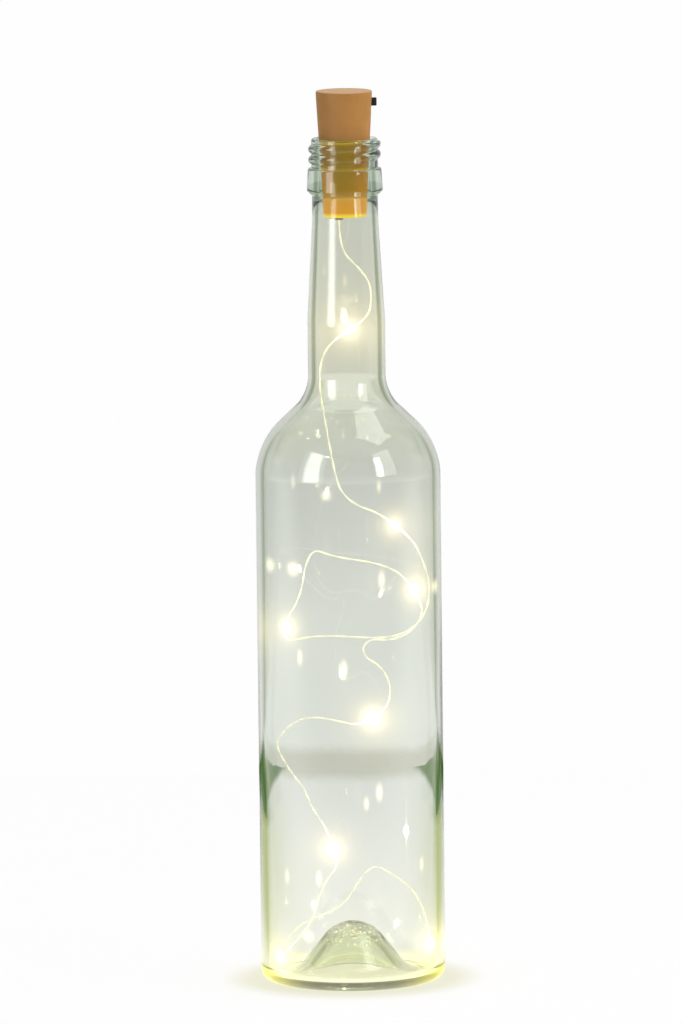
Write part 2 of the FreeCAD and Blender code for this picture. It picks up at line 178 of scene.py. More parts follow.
class Graph:
    """The nodes of one material or of the world."""

    def __init__(self, tree: bpy.types.NodeTree) -> None:
        """Start from an empty tree.

        Args:
            tree: The node tree to fill.
        """
        self.tree = tree
        tree.nodes.clear()

    def node(
        self, kind: str, settings: dict[str, Any] | None = None, values: dict[Any, Any] | None = None
    ) -> bpy.types.Node:
        """Add a node.

        Args:
            kind: The node's type.
            settings: Its properties, and a ramp's stops as (place, colour) pairs under "stops".
            values: Its inputs by name or number, each a signal, a socket or a constant.

        Returns:
            The new node.
        """
        made = self.tree.nodes.new(kind)
        for name, value in (settings or {}).items():
            if name == "stops":
                self._stops(made, value)
            else:
                setattr(made, name, value)
        for name, value in (values or {}).items():
            if isinstance(value, Signal):
                self.tree.links.new(value.socket, made.inputs[name])
            elif isinstance(value, bpy.types.NodeSocket):
                self.tree.links.new(value, made.inputs[name])
            elif isinstance(value, tuple) and len(value) == 3 and made.inputs[name].type == "RGBA":
                made.inputs[name].default_value = (*value, 1.0)
            else:
                made.inputs[name].default_value = value
        return made

    @staticmethod
    def _stops(ramp: bpy.types.Node, stops: Iterable[tuple[float, Colour]]) -> None:
        """Set a ramp's stops.

        Args:
            ramp: The ramp node.
            stops: Places from 0 to 1 with their colours.
        """
        elements = ramp.color_ramp.elements
        places = list(stops)
        while len(elements) < len(places):
            elements.new(1.0)
        for element, (place, colour) in zip(elements, places):
            element.position = place
            element.color = (*colour, 1.0)

    def signal(self, node: bpy.types.Node, output: Any = 0) -> Signal:
        """One of a node's outputs as a value."""
        return Signal(self, node.outputs[output])

    def place(self) -> bpy.types.NodeSocket:
        """Object coordinates, which are the frame's own, in metres."""
        return self.node("ShaderNodeTexCoord").outputs["Object"]

    def axes(self) -> tuple[Signal, Signal, Signal]:
        """The three Object coordinates as values."""
        split = self.node("ShaderNodeSeparateXYZ", values={0: self.place()})
        return self.signal(split, 0), self.signal(split, 1), self.signal(split, 2)

    def noise(self, scale: float, detail: float = 3.0, stretch: Colour = (1.0, 1.0, 1.0)) -> Signal:
        """Noise on Object coordinates.

        Args:
            scale: Its scale, per metre.
            detail: Its detail.
            stretch: How much finer it is along each axis.

        Returns:
            The noise, about 0.5.
        """
        shift = self.node("ShaderNodeMapping", {"vector_type": "POINT"}, {0: self.place(), "Scale": stretch})
        made = self.node(
            "ShaderNodeTexNoise", values={"Vector": shift.outputs[0], "Scale": scale, "Detail": detail}
        )
        return self.signal(made, 0)

    def mixed(self, factor: Any, first: Any, second: Any) -> bpy.types.NodeSocket:
        """Mix two colours.

        Args:
            factor: The share of the second.
            first: The first colour.
            second: The second colour.

        Returns:
            The mixed colour.
        """
        made = self.node("ShaderNodeMix", {"data_type": "RGBA"}, {0: factor, 6: first, 7: second})
        return made.outputs[2]

    def either(self, factor: Any, first: Any, second: Any) -> bpy.types.NodeSocket:
        """Mix two shaders.

        Args:
            factor: The share of the second.
            first: The first shader.
            second: The second shader.

        Returns:
            The mixed shader.
        """
        return self.node("ShaderNodeMixShader", values={0: factor, 1: first, 2: second}).outputs[0]

    def even_light(self, colour: Any) -> bpy.types.NodeSocket:
        """A surface that gives off its colour as it is."""
        return self.node("ShaderNodeEmission", values={"Color": colour, "Strength": 1.0}).outputs[0]

    def surroundings(self, colour: Any) -> bpy.types.NodeSocket:
        """Surroundings of one colour."""
        return self.node("ShaderNodeBackground", values={"Color": colour, "Strength": 1.0}).outputs[0]

    def away(self, point: Colour, upright: float = 1.0) -> Signal:
        """Distance from a point of the frame.

        Args:
            point: The point, in metres.
            upright: How much heights count, where less than 1 draws what it makes out upwards.

        Returns:
            The distance, in metres.
        """
        here = self.place()
        if upright != 1.0:
            scaled = self.node("ShaderNodeMapping", values={0: here, "Scale": (1.0, 1.0, upright)})
            here = scaled.outputs[0]
        there = (point[0], point[1], point[2] * upright)
        made = self.node("ShaderNodeVectorMath", {"operation": "DISTANCE"}, {0: here, 1: there})
        return self.signal(made, "Value")

    def bump(self, height: Signal, depth: float, strength: float = 1.0) -> bpy.types.NodeSocket:
        """Turn heights into normals.

        Args:
            height: Heights from 0 to 1.
            depth: The height that 1 stands for, in metres.
            strength: The bump's strength.

        Returns:
            The normal.
        """
        made = self.node(
            "ShaderNodeBump", values={"Height": height, "Distance": depth, "Strength": strength}
        )
        return made.outputs[0]

    def surface(self, shader: bpy.types.NodeSocket, volume: bpy.types.NodeSocket | None = None) -> None:
        """Send a shader to the output, and a volume if there is one."""
        output = self.node("ShaderNodeOutputMaterial", values={"Surface": shader})
        if volume is not None:
            self.tree.links.new(volume, output.inputs["Volume"])


class Finish:
    """A finish that is made into a material once and then shared."""

    name = "finish"

    def paint(self, graph: Graph) -> None:
        """Fill the material's graph."""
        raise NotImplementedError

    def material(self) -> bpy.types.Material:
        """The finish's material.

        Returns:
            The material, made at its first use.
        """
        found = bpy.data.materials.get(self.name)
        if found is not None:
            return found
        made = bpy.data.materials.new(self.name)
        made.use_nodes = True
        self.paint(Graph(made.node_tree))
        return made


@dataclass(frozen=True)
class BottleGlass(Finish):
    """Clear bottle glass with a faint grey-green tint, with the light of the drops painted onto it as glow,
    glare and reflections.
    """

    name: str = "bottle glass"
    refraction: float = 1.52
    tint: Colour = (0.45, 0.58, 0.42)
    density: float = 52.0
    plain_tone: Colour = (1.0, 1.0, 1.0)
    finish_tone: Colour = (0.895, 0.950, 0.925)
    neck_tone: Colour = (0.975, 0.975, 0.935)
    punt_tone: Colour = (0.915, 0.93, 0.80)
    foot_tone: Colour = (0.97, 0.965, 0.89)
    shadow_tone: Colour = (0.93, 0.95, 0.93)
    bump_depth: float = 0.5 * MM
    bubble_scale: float = 520.0
    punt_height: float = 30 * MM
    punt_radius: float = 19 * MM
    # Painted light of the drops on the glass: its colours, strength, reaches, spreads and glare.
    glow: Colour = (1.0, 0.92, 0.62)
    far_glow: Colour = (1.0, 0.74, 0.30)
    base_glow: Colour = (0.96, 0.84, 0.14)
    heel_glow: Colour = (1.0, 0.97, 0.70)
    glow_power: float = 0.62
    near_reach: float = 7 * MM
    far_reach: float = 26 * MM
    front_reach: float = 7.8 * MM
    neck_spread: float = 0.055
    body_spread: float = 0.022
    bloom: float = 0.58
    foot_bloom: float = 0.85
    foot_height: float = 20 * MM
    body_radius: float = 37 * MM
    neck_radius: float = 15.4 * MM
    neck_foot: float = 230 * MM
    view_slope: float = 0.135
    neck_rise: Span = (196 * MM, 226 * MM)
    finish_rise: Span = (304 * MM, 318 * MM)
    foot_rise: Span = (3 * MM, 12 * MM)
    dome_reach: Span = (19 * MM, 27 * MM)
    dome_rise: Span = (25 * MM, 28 * MM)
    apex_rise: Span = (11 * MM, 19 * MM)
    # Where the painted glow of the foot and the heel lies, and how strong it is.
    base_rise: Span = (0.0, 85 * MM)
    base_reach: Span = (8 * MM, 34 * MM)
    base_share: float = 0.055
    heel_rise: Span = (1 * MM, 7 * MM)
    heel_reach: Span = (26 * MM, 34 * MM)
    heel_sides: Span = (14 * MM, 36 * MM)
    heel_shares: Span = (0.27, 0.63)
    hue_sides: Span = (12 * MM, 33 * MM)
    lights: tuple[Colour, ...] = (
        (1.2, -3.5, 262.6), (18.4, -15.0, 185.3), (-25.2, -8.5, 143.6), (26.0, 12.0, 155.6),
        (8.6, -25.2, 109.2), (-7.8, 20.5, 50.3), (-29.6, 4.0, 7.9), (31.0, -4.1, 14.2),
    )
    # Painted reflections of the drops in the walls: across and height, reach in millimetres, and share.
    painted_reflections: tuple[tuple[float, float, float, float], ...] = (
        (-31.7, 170.4, 4.6, 0.85), (-22.4, 170.0, 4.6, 0.85), (-8.8, 200.2, 3.4, 0.80),
        (12.9, 166.0, 2.4, 0.80), (34.3, 160.3, 4.4, 0.85), (12.2, 203.5, 1.6, 0.60),
        (-20.0, 134.8, 2.0, 0.70), (-2.5, 130.4, 2.2, 0.90), (11.1, 80.7, 2.2, 0.90),
        (5.9, 76.4, 1.7, 0.75), (-13.4, 46.0, 1.9, 0.75), (-26.1, 45.7, 1.9, 0.55),
        (27.7, 49.9, 1.9, 0.60), (-17.8, 22.4, 3.6, 0.70), (-0.4, 283.8, 1.9, 0.45), (-9.4, 287.8, 1.9, 0.45),
    )
    round_reach: float = 2.5
    slim: float = 0.4

    def _front(self, x: float, z: float) -> float:
        """Where the front of the glass is.

        Args:
            x: The place across, in metres.
            z: The height, in metres.

        Returns:
            The front's place in depth, in metres.
        """
        wall = self.neck_radius if z > self.neck_foot else self.body_radius
        return -math.sqrt(wall**2 - x**2)

    def _painted_drop_light(self, graph: Graph) -> Signal:
        """How much painted light of the drops the glass shows: a glow round each drop, a painted glare patch
        on the front wall before it, and painted reflections of the drops in its walls.

        Args:
            graph: The material's graph.

        Returns:
            The painted light, about 1 beside a drop.
        """
        total: Any = 0.0
        for light in self.lights:
            x, y, z = (c * MM for c in light)
            away = graph.away((x, y, z))
            near = away.fading(self.near_reach)
            far = away.fading(self.far_reach)
            front = self._front(x, z)
            # A painted glare patch on the front wall before the drop.
            painted_glare = graph.away((x, front, z + (y - front) * self.view_slope)).fading(self.front_reach)
            spread = self.neck_spread if z > self.neck_foot else self.body_spread
            bloom = self.bloom if z > self.foot_height else self.foot_bloom
            total = near * near + far * far * spread + painted_glare * painted_glare * painted_glare * bloom + total
        # Painted reflections of the drops in the walls.
        for x, z, reach, share in self.painted_reflections:
            place = (x * MM, self._front(x * MM, z * MM), z * MM)
            ahead = graph.away(place, 1.0 if reach > self.round_reach else self.slim)
            total = ahead.between(0.0, reach * MM, share, 0.0) + total
        return total

    def _tone(self, graph: Graph, radius: Signal, up: Signal) -> bpy.types.NodeSocket:
        """The glass's own tone from its foot to its finish.

        Args:
            graph: The material's graph.
            radius: The distance from the bottle's axis.
            up: The height.

        Returns:
            The tone.
        """
        slope = graph.mixed(up.between(*self.neck_rise), self.plain_tone, self.neck_tone)
        upper = graph.mixed(up.between(*self.finish_rise), slope, self.finish_tone)
        footed = graph.mixed(up.between(*self.foot_rise, 1.0, 0.0), upper, self.foot_tone)
        dome = radius.between(*self.dome_reach, 1.0, 0.0) * up.between(*self.dome_rise, 1.0, 0.0)
        return graph.mixed(dome, footed, self.punt_tone)

    def _painted_base_glow(self, side: Signal, radius: Signal, up: Signal) -> Signal:
        """Painted glow of the drops' light in the thick glass of the foot and the heel.

        Args:
            side: The distance to either side.
            radius: The distance from the bottle's axis.
            up: The height.

        Returns:
            The painted glow.
        """
        foot = up.between(*self.base_rise, 1.0, 0.0) * radius.between(*self.base_reach, 0.4, 1.0)
        heel = up.between(*self.heel_rise, 1.0, 0.0) * radius.between(*self.heel_reach)
        return foot * self.base_share + heel * side.between(*self.heel_sides, *self.heel_shares)

    def paint(self, graph: Graph) -> None:
        """Glass that lets the lamps' light pass, with the tint in its thickness and the drops' light painted
        on as emission.
        """
        across, deep, up = graph.axes()
        radius = (across * across + deep * deep) ** 0.5
        side = across.size()
        ripple = graph.noise(26.0, 1.0, (1.0, 1.0, 0.35))
        fine = graph.noise(150.0, 2.0, (1.0, 1.0, 0.5))
        near = radius.between(self.punt_radius * 0.5, self.punt_radius, 1.0, 0.0) * up.between(
            self.punt_height * 0.8, self.punt_height, 1.0, 0.0
        )
        cells = graph.node(
            "ShaderNodeTexVoronoi", {"feature": "F1"}, {"Vector": graph.place(), "Scale": self.bubble_scale}
        )
        cell = graph.signal(cells)
        apex = near * up.between(*self.apex_rise)
        bubble = cell.between(0.12, 0.45, 1.0, 0.0) * apex
        # Painted glints on the bubbles near the punt's apex.
        painted_sparkle = cell.between(0.14, 0.30, 1.0, 0.0) * apex
        height = ripple * 0.40 + fine * (0.05 - near * 0.04) + bubble * 0.6
        # Painted glow in the foot and the heel.
        base = self._painted_base_glow(side, radius, up)
        # Painted light of the drops, with its glare and reflections.
        lit = self._painted_drop_light(graph)
        # Colours of the painted glow: warm beside the drops, yellow in the foot and the heel.
        drop_hue = graph.mixed(lit.between(0.0, 0.6), self.far_glow, self.glow)
        base_hue = graph.mixed(side.between(*self.hue_sides), self.heel_glow, self.base_glow)
        hue = graph.mixed((base * 12.0).least(1.0), drop_hue, base_hue)
        # All painted light of the glass, sent out as emission.
        painted_glow = lit + base + painted_sparkle
        clear = graph.node(
            "ShaderNodeBsdfPrincipled",
            values={
                "Base Color": self._tone(graph, radius, up),
                "Roughness": 0.0,
                "IOR": self.refraction,
                "Transmission Weight": 1.0,
                "Emission Color": graph.mixed(painted_glow.least(1.0), (0.0, 0.0, 0.0), hue),
                "Emission Strength": self.glow_power,
                "Normal": graph.bump(height, self.bump_depth, 0.5),
            },
        )
        passing = graph.node("ShaderNodeBsdfTransparent", values={"Color": self.shadow_tone})
        shadow = graph.signal(graph.node("ShaderNodeLightPath"), "Is Shadow Ray")
        tint = graph.node("ShaderNodeVolumeAbsorption", values={"Color": self.tint, "Density": self.density})
        graph.surface(graph.either(shadow, clear.outputs[0], passing.outputs[0]), tint.outputs[0])


@dataclass(frozen=True)
class CorkPlastic(Finish):
    """Moulded cork-coloured plastic with the drops' light painted on as a glow inside the neck, brightest at
    its foot.
    """

    name: str = "cork plastic"
    light_tone: Colour = (0.475, 0.222, 0.055)
    dark_tone: Colour = (0.420, 0.193, 0.045)
    # Painted shade: the part inside the neck is much darker.
    sunk_shade_tone: Colour = (0.120, 0.042, 0.001)
    # Painted highlight: the flat top is paler.
    top_highlight_tone: Colour = (0.600, 0.370, 0.190)
    # Painted darker shade in the middle of the glow.
    painted_olive_shade: Colour = (0.200, 0.145, 0.000)
    top_height: float = 358 * MM
    foot_height: float = 308 * MM
    mouth_height: float = 339 * MM
    mouth_edge: Span = (-0.6 * MM, 0.2 * MM)
    top_edge: Span = (-0.35 * MM, -0.02 * MM)
    middle_reach: Span = (3.0 * MM, 5.5 * MM)
    middle_foot: Span = (0.31, 0.36)
    middle_top: Span = (0.90, 0.95)
    middle_share: float = 0.6
    grain_depth: float = 0.02 * MM
    # Painted glow of the drops' light by height, from the foot of the part inside the neck to the mouth, with
    # painted bright bands at the collar's edges and by the mouth.
    glow: tuple[tuple[float, Colour], ...] = (
        (0.0, (0.92, 0.78, 0.07)),
        (0.035, (0.86, 0.64, 0.04)),
        (0.07, (0.68, 0.30, 0.008)),
        (0.25, (0.62, 0.27, 0.006)),
        (0.27, (0.60, 0.36, 0.006)),
        (0.30, (0.40, 0.180, 0.003)),
        (0.60, (0.31, 0.135, 0.002)),
        (0.62, (0.52, 0.34, 0.002)),
        (0.645, (0.24, 0.110, 0.001)),
        (0.70, (0.20, 0.095, 0.001)),
        (0.90, (0.19, 0.090, 0.001)),
        (0.955, (0.44, 0.29, 0.002)),
        (0.985, (0.40, 0.25, 0.002)),
        (1.0, (0.0, 0.0, 0.0)),
    )

    def paint(self, graph: Graph) -> None:
        """Two close tones, a fine moulded grain, a painted highlight on the top and painted shade on the sunk
        part under a painted glow.
        """
        across, _, up = graph.axes()
        mottle = graph.noise(120.0, 2.0)
        speck = graph.noise(900.0, 2.0)
        open_tone = graph.mixed(mottle.between(0.25, 0.75), self.dark_tone, self.light_tone)
        # Painted shade on the part inside the neck.
        sunk = up.between(*about(self.mouth_height, self.mouth_edge), 1.0, 0.0)
        # Painted highlight on the flat top.
        flat = up.between(*about(self.top_height, self.top_edge))
        tone = graph.mixed(flat, graph.mixed(sunk, open_tone, self.sunk_shade_tone), self.top_highlight_tone)
        share = (up - self.foot_height) * (1.0 / (self.mouth_height - self.foot_height))
        # Painted glow of the drops' light on the part inside the neck.
        lit = graph.node("ShaderNodeValToRGB", {"stops": self.glow}, {0: share})
        # Painted darker shade in the glow along a middle strip across the thread.
        middle = across.size().between(*self.middle_reach, 1.0, 0.0)
        sheltered = share.between(*self.middle_foot) * share.between(*self.middle_top, 1.0, 0.0)
        hue = graph.mixed(middle * sheltered * self.middle_share, lit.outputs[0], self.painted_olive_shade)
        shader = graph.node(
            "ShaderNodeBsdfPrincipled",
            values={
                "Base Color": tone,
                "Roughness": mottle * 0.06 + 0.52,
                "Specular IOR Level": 0.3,
                "Emission Color": hue,
                "Emission Strength": 1.0,
                "Normal": graph.bump(speck, self.grain_depth, 0.5),
            },
        )
        graph.surface(shader.outputs[0])


@dataclass(frozen=True)
class MouldedPlastic(Finish):
    """Moulded plastic with a fine texture."""

    name: str = "black plastic"
    tone: Colour = (0.012, 0.012, 0.013)
    roughness: float = 0.35
    rib_pitch: float = 0.0
    grain_depth: float = 0.06 * MM

    def paint(self, graph: Graph) -> None:
        """A little unevenness, and ribs across the height where the piece has them."""
        grain = graph.noise(1400.0, 3.0)
        height = grain
        if self.rib_pitch > 0:
            turns = graph.axes()[2] * (2 * math.pi / self.rib_pitch)
            height = grain * 0.2 + turns.sine() * 0.5
        paler = tuple(min(1.0, c * 1.35 + 0.004) for c in self.tone)
        shader = graph.node(
            "ShaderNodeBsdfPrincipled",
            values={
                "Base Color": graph.mixed(grain, self.tone, paler),
                "Roughness": grain * 0.15 + self.roughness,
                "Normal": graph.bump(height, self.grain_depth, 0.6),
            },
        )
        graph.surface(shader.outputs[0])


@dataclass(frozen=True)
class PlatedMetal(Finish):
    """Nickel plate, brushed along one way."""

    name: str = "plated metal"
    tone: Colour = (0.62, 0.61, 0.58)
    roughness: float = 0.25
    brush: Colour = (1.0, 1.0, 14.0)
    brush_depth: float = 0.01 * MM

    def paint(self, graph: Graph) -> None:
        """Fine brushed lines in the roughness and the normal."""
        lines = graph.noise(420.0, 3.0, self.brush)
        darker = tuple(c * 0.82 for c in self.tone)
        shader = graph.node(
            "ShaderNodeBsdfPrincipled",
            values={
                "Base Color": graph.mixed(lines, darker, self.tone),
                "Metallic": 1.0,
                "Roughness": lines * 0.2 + self.roughness,
                "Normal": graph.bump(lines, self.brush_depth, 0.4),
            },
        )
        graph.surface(shader.outputs[0])


@dataclass(frozen=True)
class BoardLaminate(Finish):
    """Green solder mask over copper tracks."""

    name: str = "board laminate"
    mask: Colour = (0.010, 0.085, 0.035)
    track: Colour = (0.020, 0.150, 0.060)
    track_depth: float = 0.03 * MM

    def paint(self, graph: Graph) -> None:
        """Tracks that run down the board under the mask."""
        wave = graph.node(
            "ShaderNodeTexWave",
            {"wave_type": "BANDS", "bands_direction": "Y"},
            {"Vector": graph.place(), "Scale": 170.0, "Distortion": 1.0, "Detail": 0.0},
        )
        path = graph.signal(wave, 1).between(0.45, 0.55)
        shader = graph.node(
            "ShaderNodeBsdfPrincipled",
            values={
                "Base Color": graph.mixed(path, self.mask, self.track),
                "Roughness": 0.32,
                "Normal": graph.bump(path, self.track_depth, 0.6),
            },
        )
        graph.surface(shader.outputs[0])


@dataclass(frozen=True)
class VarnishedWire(Finish):
    """Pale varnished wire with the warm light of its drops painted on as emission."""

    name: str = "varnished wire"
    tone: Colour = (0.92, 0.89, 0.72)
    # Painted light: a warm glow beside each drop and a faint glow all along the wire.
    painted_warm_light: Colour = (1.0, 0.93, 0.68)
    reach: float = 6 * MM
    spill: float = 1.4
    painted_ambient_glow: float = 0.16
    power: float = 2.4
    lights: tuple[Colour, ...] = BottleGlass.lights

    def paint(self, graph: Graph) -> None:
        """Slight changes of tone and gloss along the wire, a faint painted glow all along and more painted
        glow beside each drop.
        """
        change = graph.noise(160.0, 2.0)
        # Painted glow of the drops' light on the wire.
        lit: Any = 0.0
        for light in self.lights:
            near = graph.away(tuple(c * MM for c in light)).fading(self.reach)
            lit = near * near * self.spill + lit
        paler = tuple(min(1.0, c * 1.08) for c in self.tone)
        shader = graph.node(
            "ShaderNodeBsdfPrincipled",
            values={
                "Base Color": graph.mixed(change, self.tone, paler),
                "Roughness": change * 0.2 + 0.22,
                "Emission Color": graph.mixed(
                    (lit + self.painted_ambient_glow).least(1.0), (0.0, 0.0, 0.0), self.painted_warm_light
                ),
                "Emission Strength": self.power,
            },
        )
        graph.surface(shader.outputs[0])


@dataclass(frozen=True)
class DropResin(Finish):
    """Clear resin filled with the warm light of its chip, brightest round the chip."""

    name: str = "drop resin"
    core: Colour = (1.0, 0.93, 0.72)
    fringe: Colour = (1.0, 0.70, 0.26)
    power: float = 45.0

    def paint(self, graph: Graph) -> None:
        """Emission that falls away towards the drop's ends."""
        reach = graph.signal(graph.node("ShaderNodeAttribute", {"attribute_name": "reach"}), "Fac")
        glow = reach.between(0.15, 1.0, 1.0, 0.0)
        hue = graph.mixed(glow, self.fringe, self.core)
        lit = graph.mixed(glow**2.5 * 0.97 + 0.03, (0.0, 0.0, 0.0), hue)
        shader = graph.node(
            "ShaderNodeBsdfPrincipled",
            values={
                "Base Color": (0.98, 0.95, 0.86),
                "Roughness": reach * 0.10 + 0.22,
                "IOR": 1.5,
                "Transmission Weight": 0.9,
                "Emission Color": lit,
                "Emission Strength": self.power,
            },
        )
        graph.surface(shader.outputs[0])


@dataclass(frozen=True)
class ChipPhosphor(Finish):
    """A lit warm white chip under its yellow phosphor."""

    name: str = "chip phosphor"
    hue: Colour = (1.0, 0.88, 0.60)
    power: float = 100.0

    def paint(self, graph: Graph) -> None:
        """Even light with the phosphor's fine grain."""
        grain = graph.noise(3000.0, 1.0)
        warm = graph.mixed(grain, self.hue, (1.0, 0.93, 0.74))
        shader = graph.node(
            "ShaderNodeBsdfPrincipled",
            values={
                "Base Color": warm,
                "Roughness": 0.5,
                "Emission Color": warm,
                "Emission Strength": self.power,
            },
        )
        graph.surface(shader.outputs[0])


@dataclass(frozen=True)
class StudioFloor(Finish):
    """A white floor that keeps shadows, with a painted warm glow round the bottle, and shows as a pale table
    through the glass, with painted light and shade on it.
    """

    name: str = "studio floor"
    table: Colour = (0.92, 0.92, 0.91)
    front: Colour = (0.24, 0.25, 0.23)
    # Painted grey band of shade at the table's far end, seen through the glass.
    edge: Colour = (0.68, 0.67, 0.59)
    # Painted dark-green shade wedges on the table, seen through the glass's edges.
    painted_green_wedge: Colour = (0.55, 0.60, 0.30)
    painted_dark_wedge: Colour = (0.045, 0.150, 0.0)
    # Painted warm glow on the floor round the bottle, and painted warm contact shade at its foot.
    painted_floor_glow: Colour = (1.0, 0.985, 0.94)
    painted_contact_shade: Colour = (0.84, 0.83, 0.66)
    # Painted pool of the drops' light on the table near the bottle, seen through the glass.
    lit_table: Colour = (0.98, 0.94, 0.78)
    depth: float = 0.549
    edge_run: float = 0.045
    floor_glow_reach: Span = (30 * MM, 75 * MM)
    contact_shade_reach: Span = (36 * MM, 56 * MM)
    front_run: Span = (-0.6, -0.1)
    green_slant: float = 0.22
    green_line: Span = (0.045, 0.10)
    green_back: Span = (0.36, 0.46)
    green_sides: Span = (0.30, 0.60)
    green_front: Span = (-0.02, 0.05)
    dark_slant: float = 1.15
    dark_line: Span = (0.615, 0.655)
    dark_front: Span = (0.10, 0.25)
    dark_sides: Span = (0.36, 0.44)
    camera_share: float = 0.955
    bent_share: float = 0.92

    def paint(self, graph: Graph) -> None:
        """Mostly even white to the camera, with a painted warm glow and contact shade round the bottle, and a
        table top to light that the glass bends, with a painted pool of the drops' light, painted dark-green
        wedges and a painted grey band of shade at its far end.
        """
        path = graph.node("ShaderNodeLightPath")
        camera = graph.signal(path, "Is Camera Ray")
        bent = graph.signal(path, "Is Transmission Ray").most(graph.signal(path, "Is Glossy Ray"))
        grain = graph.noise(6.0, 2.0)
        tone = graph.mixed(grain, (0.90, 0.90, 0.90), (0.93, 0.93, 0.93))
        matt = graph.node("ShaderNodeBsdfDiffuse", values={"Color": tone})
        across, deep, _ = graph.axes()
        radius = (across * across + deep * deep) ** 0.5
        # Masks of the painted glow and the painted contact shade round the bottle.
        near = radius.between(*self.floor_glow_reach, 1.0, 0.0)
        painted_contact_shade = radius.between(*self.contact_shade_reach, 1.0, 0.0)
        painted_floor_glow = graph.mixed(near, (1.0, 1.0, 1.0), self.painted_floor_glow)
        white = graph.even_light(graph.mixed(painted_contact_shade, painted_floor_glow, self.painted_contact_shade))
        side = across.size()
        plain = graph.mixed(deep.between(*self.front_run), self.front, self.table)
        # Painted grey band of shade towards the far end.
        edge = graph.mixed(deep.between(self.depth - self.edge_run, self.depth), plain, self.edge)
        # Masks of the painted dark-green shade wedges near the sides.
        green = (side - deep * self.green_slant).between(*self.green_line)
        green = green * deep.between(*self.green_back, 1.0, 0.0)
        green = green * side.between(*self.green_sides, 1.0, 0.0) * deep.between(*self.green_front)
        dark = (side * self.dark_slant + deep).between(*self.dark_line) * deep.between(*self.dark_front)
        dark = dark * side.between(*self.dark_sides, 1.0, 0.0)
        table = graph.mixed(dark, graph.mixed(green, edge, self.painted_green_wedge), self.painted_dark_wedge)
        # Painted pool of the drops' light near the bottle.
        top = graph.even_light(graph.mixed(near, table, self.lit_table))
        seen = graph.either(camera * self.camera_share, matt.outputs[0], white)
        graph.surface(graph.either(bent * (1.0 - camera) * self.bent_share, seen, top))


@dataclass(frozen=True)
class FarShadeStrip(Finish):
    """A grey strip of painted shade standing at the floor's far end, which shows only through the glass."""

    name: str = "far shade strip"
    height: float = 12 * MM
    solid_height: float = 5 * MM
    sides: Span = (0.20, 0.28)

    def paint(self, graph: Graph) -> None:
        """A grey line of painted shade for bent light, and nothing for the camera."""
        camera = graph.signal(graph.node("ShaderNodeLightPath"), "Is Camera Ray")
        grain = graph.noise(20.0, 2.0)
        tone = graph.mixed(grain, (0.68, 0.67, 0.60), (0.71, 0.70, 0.63))
        clear = graph.node("ShaderNodeBsdfTransparent")
        across, _, up = graph.axes()
        aside = across.size().between(*self.sides)
        gone = camera.most(up.between(self.solid_height, self.height)).most(aside)
        graph.surface(graph.either(gone, graph.even_light(tone), clear.outputs[0]))


GLASS = BottleGlass()
CORK = CorkPlastic()
FINISH_OF_SLOT: dict[str, Finish] = {
    "bottle_glass": GLASS,
    "cork_plastic": CORK,
    "carrier_plastic": MouldedPlastic("carrier plastic", (0.014, 0.014, 0.015), 0.45),
    "plated_metal": PlatedMetal(),
    "cell_steel": PlatedMetal("cell steel", (0.66, 0.66, 0.65), 0.18, (14.0, 1.0, 1.0)),
    "board_laminate": BoardLaminate(),
    "resistor_ceramic": MouldedPlastic("resistor ceramic", (0.016, 0.016, 0.018), 0.5),
    "knob_plastic": MouldedPlastic("knob plastic", (0.010, 0.010, 0.011), 0.28, 0.45 * MM),
    "bush_rubber": MouldedPlastic("bush rubber", (0.30, 0.15, 0.05), 0.6),
    "wire_copper": VarnishedWire(),
    "drop_resin": DropResin(),
    "chip_phosphor": ChipPhosphor(),
}


def new_object(name: str, mesh: bpy.types.Mesh, finish: Finish) -> bpy.types.Object:
    """Link a mesh as an object at the origin.

    Args:
        name: The object's name.
        mesh: Its mesh, already in place.
        finish: Its finish.

    Returns:
        The object.
    """
    made = bpy.data.objects.new(name, mesh)
    bpy.context.scene.collection.objects.link(made)
    mesh.materials.clear()
    mesh.materials.append(finish.material())
    return made


def mesh_of(bm: bmesh.types.BMesh, name: str) -> bpy.types.Mesh:
    """Write a bmesh out as a smooth-shaded mesh and free it.

    Args:
        bm: The bmesh.
        name: The mesh's name.

    Returns:
        The mesh.
    """
    mesh = bpy.data.meshes.new(name)
    for face in bm.faces:
        face.smooth = True
    bm.to_mesh(mesh)
    bm.free()
    return mesh


def turn_about_axis(bm: bmesh.types.BMesh, steps: int) -> None:
    """Turn a bmesh's edges about Z, and join what meets on the axis.

    Args:
        bm: The bmesh, with edges in the XZ plane.
        steps: The number of faces round.
    """
    bmesh.ops.spin(
        bm,
        geom=list(bm.verts) + list(bm.edges),
        cent=(0.0, 0.0, 0.0),
        axis=(0.0, 0.0, 1.0),
        angle=2 * math.pi,
        steps=steps,
        use_merge=True,
        use_normal_flip=False,
        use_duplicate=False,
    )
    bmesh.ops.remove_doubles(bm, verts=bm.verts, dist=1.0e-6)


def mesh_of_curve(curve: bpy.types.Curve) -> bpy.types.Mesh:
    """Turn a curve into a mesh and remove the curve.

    Args:
        curve: The curve.

    Returns:
        The mesh.
    """
    holder = bpy.data.objects.new(curve.name, curve)
    bpy.context.scene.collection.objects.link(holder)
    bpy.context.view_layer.update()
    evaluated = holder.evaluated_get(bpy.context.evaluated_depsgraph_get())
    mesh = bpy.data.meshes.new_from_object(evaluated)
    bpy.data.objects.remove(holder)
    bpy.data.curves.remove(curve)
    return mesh


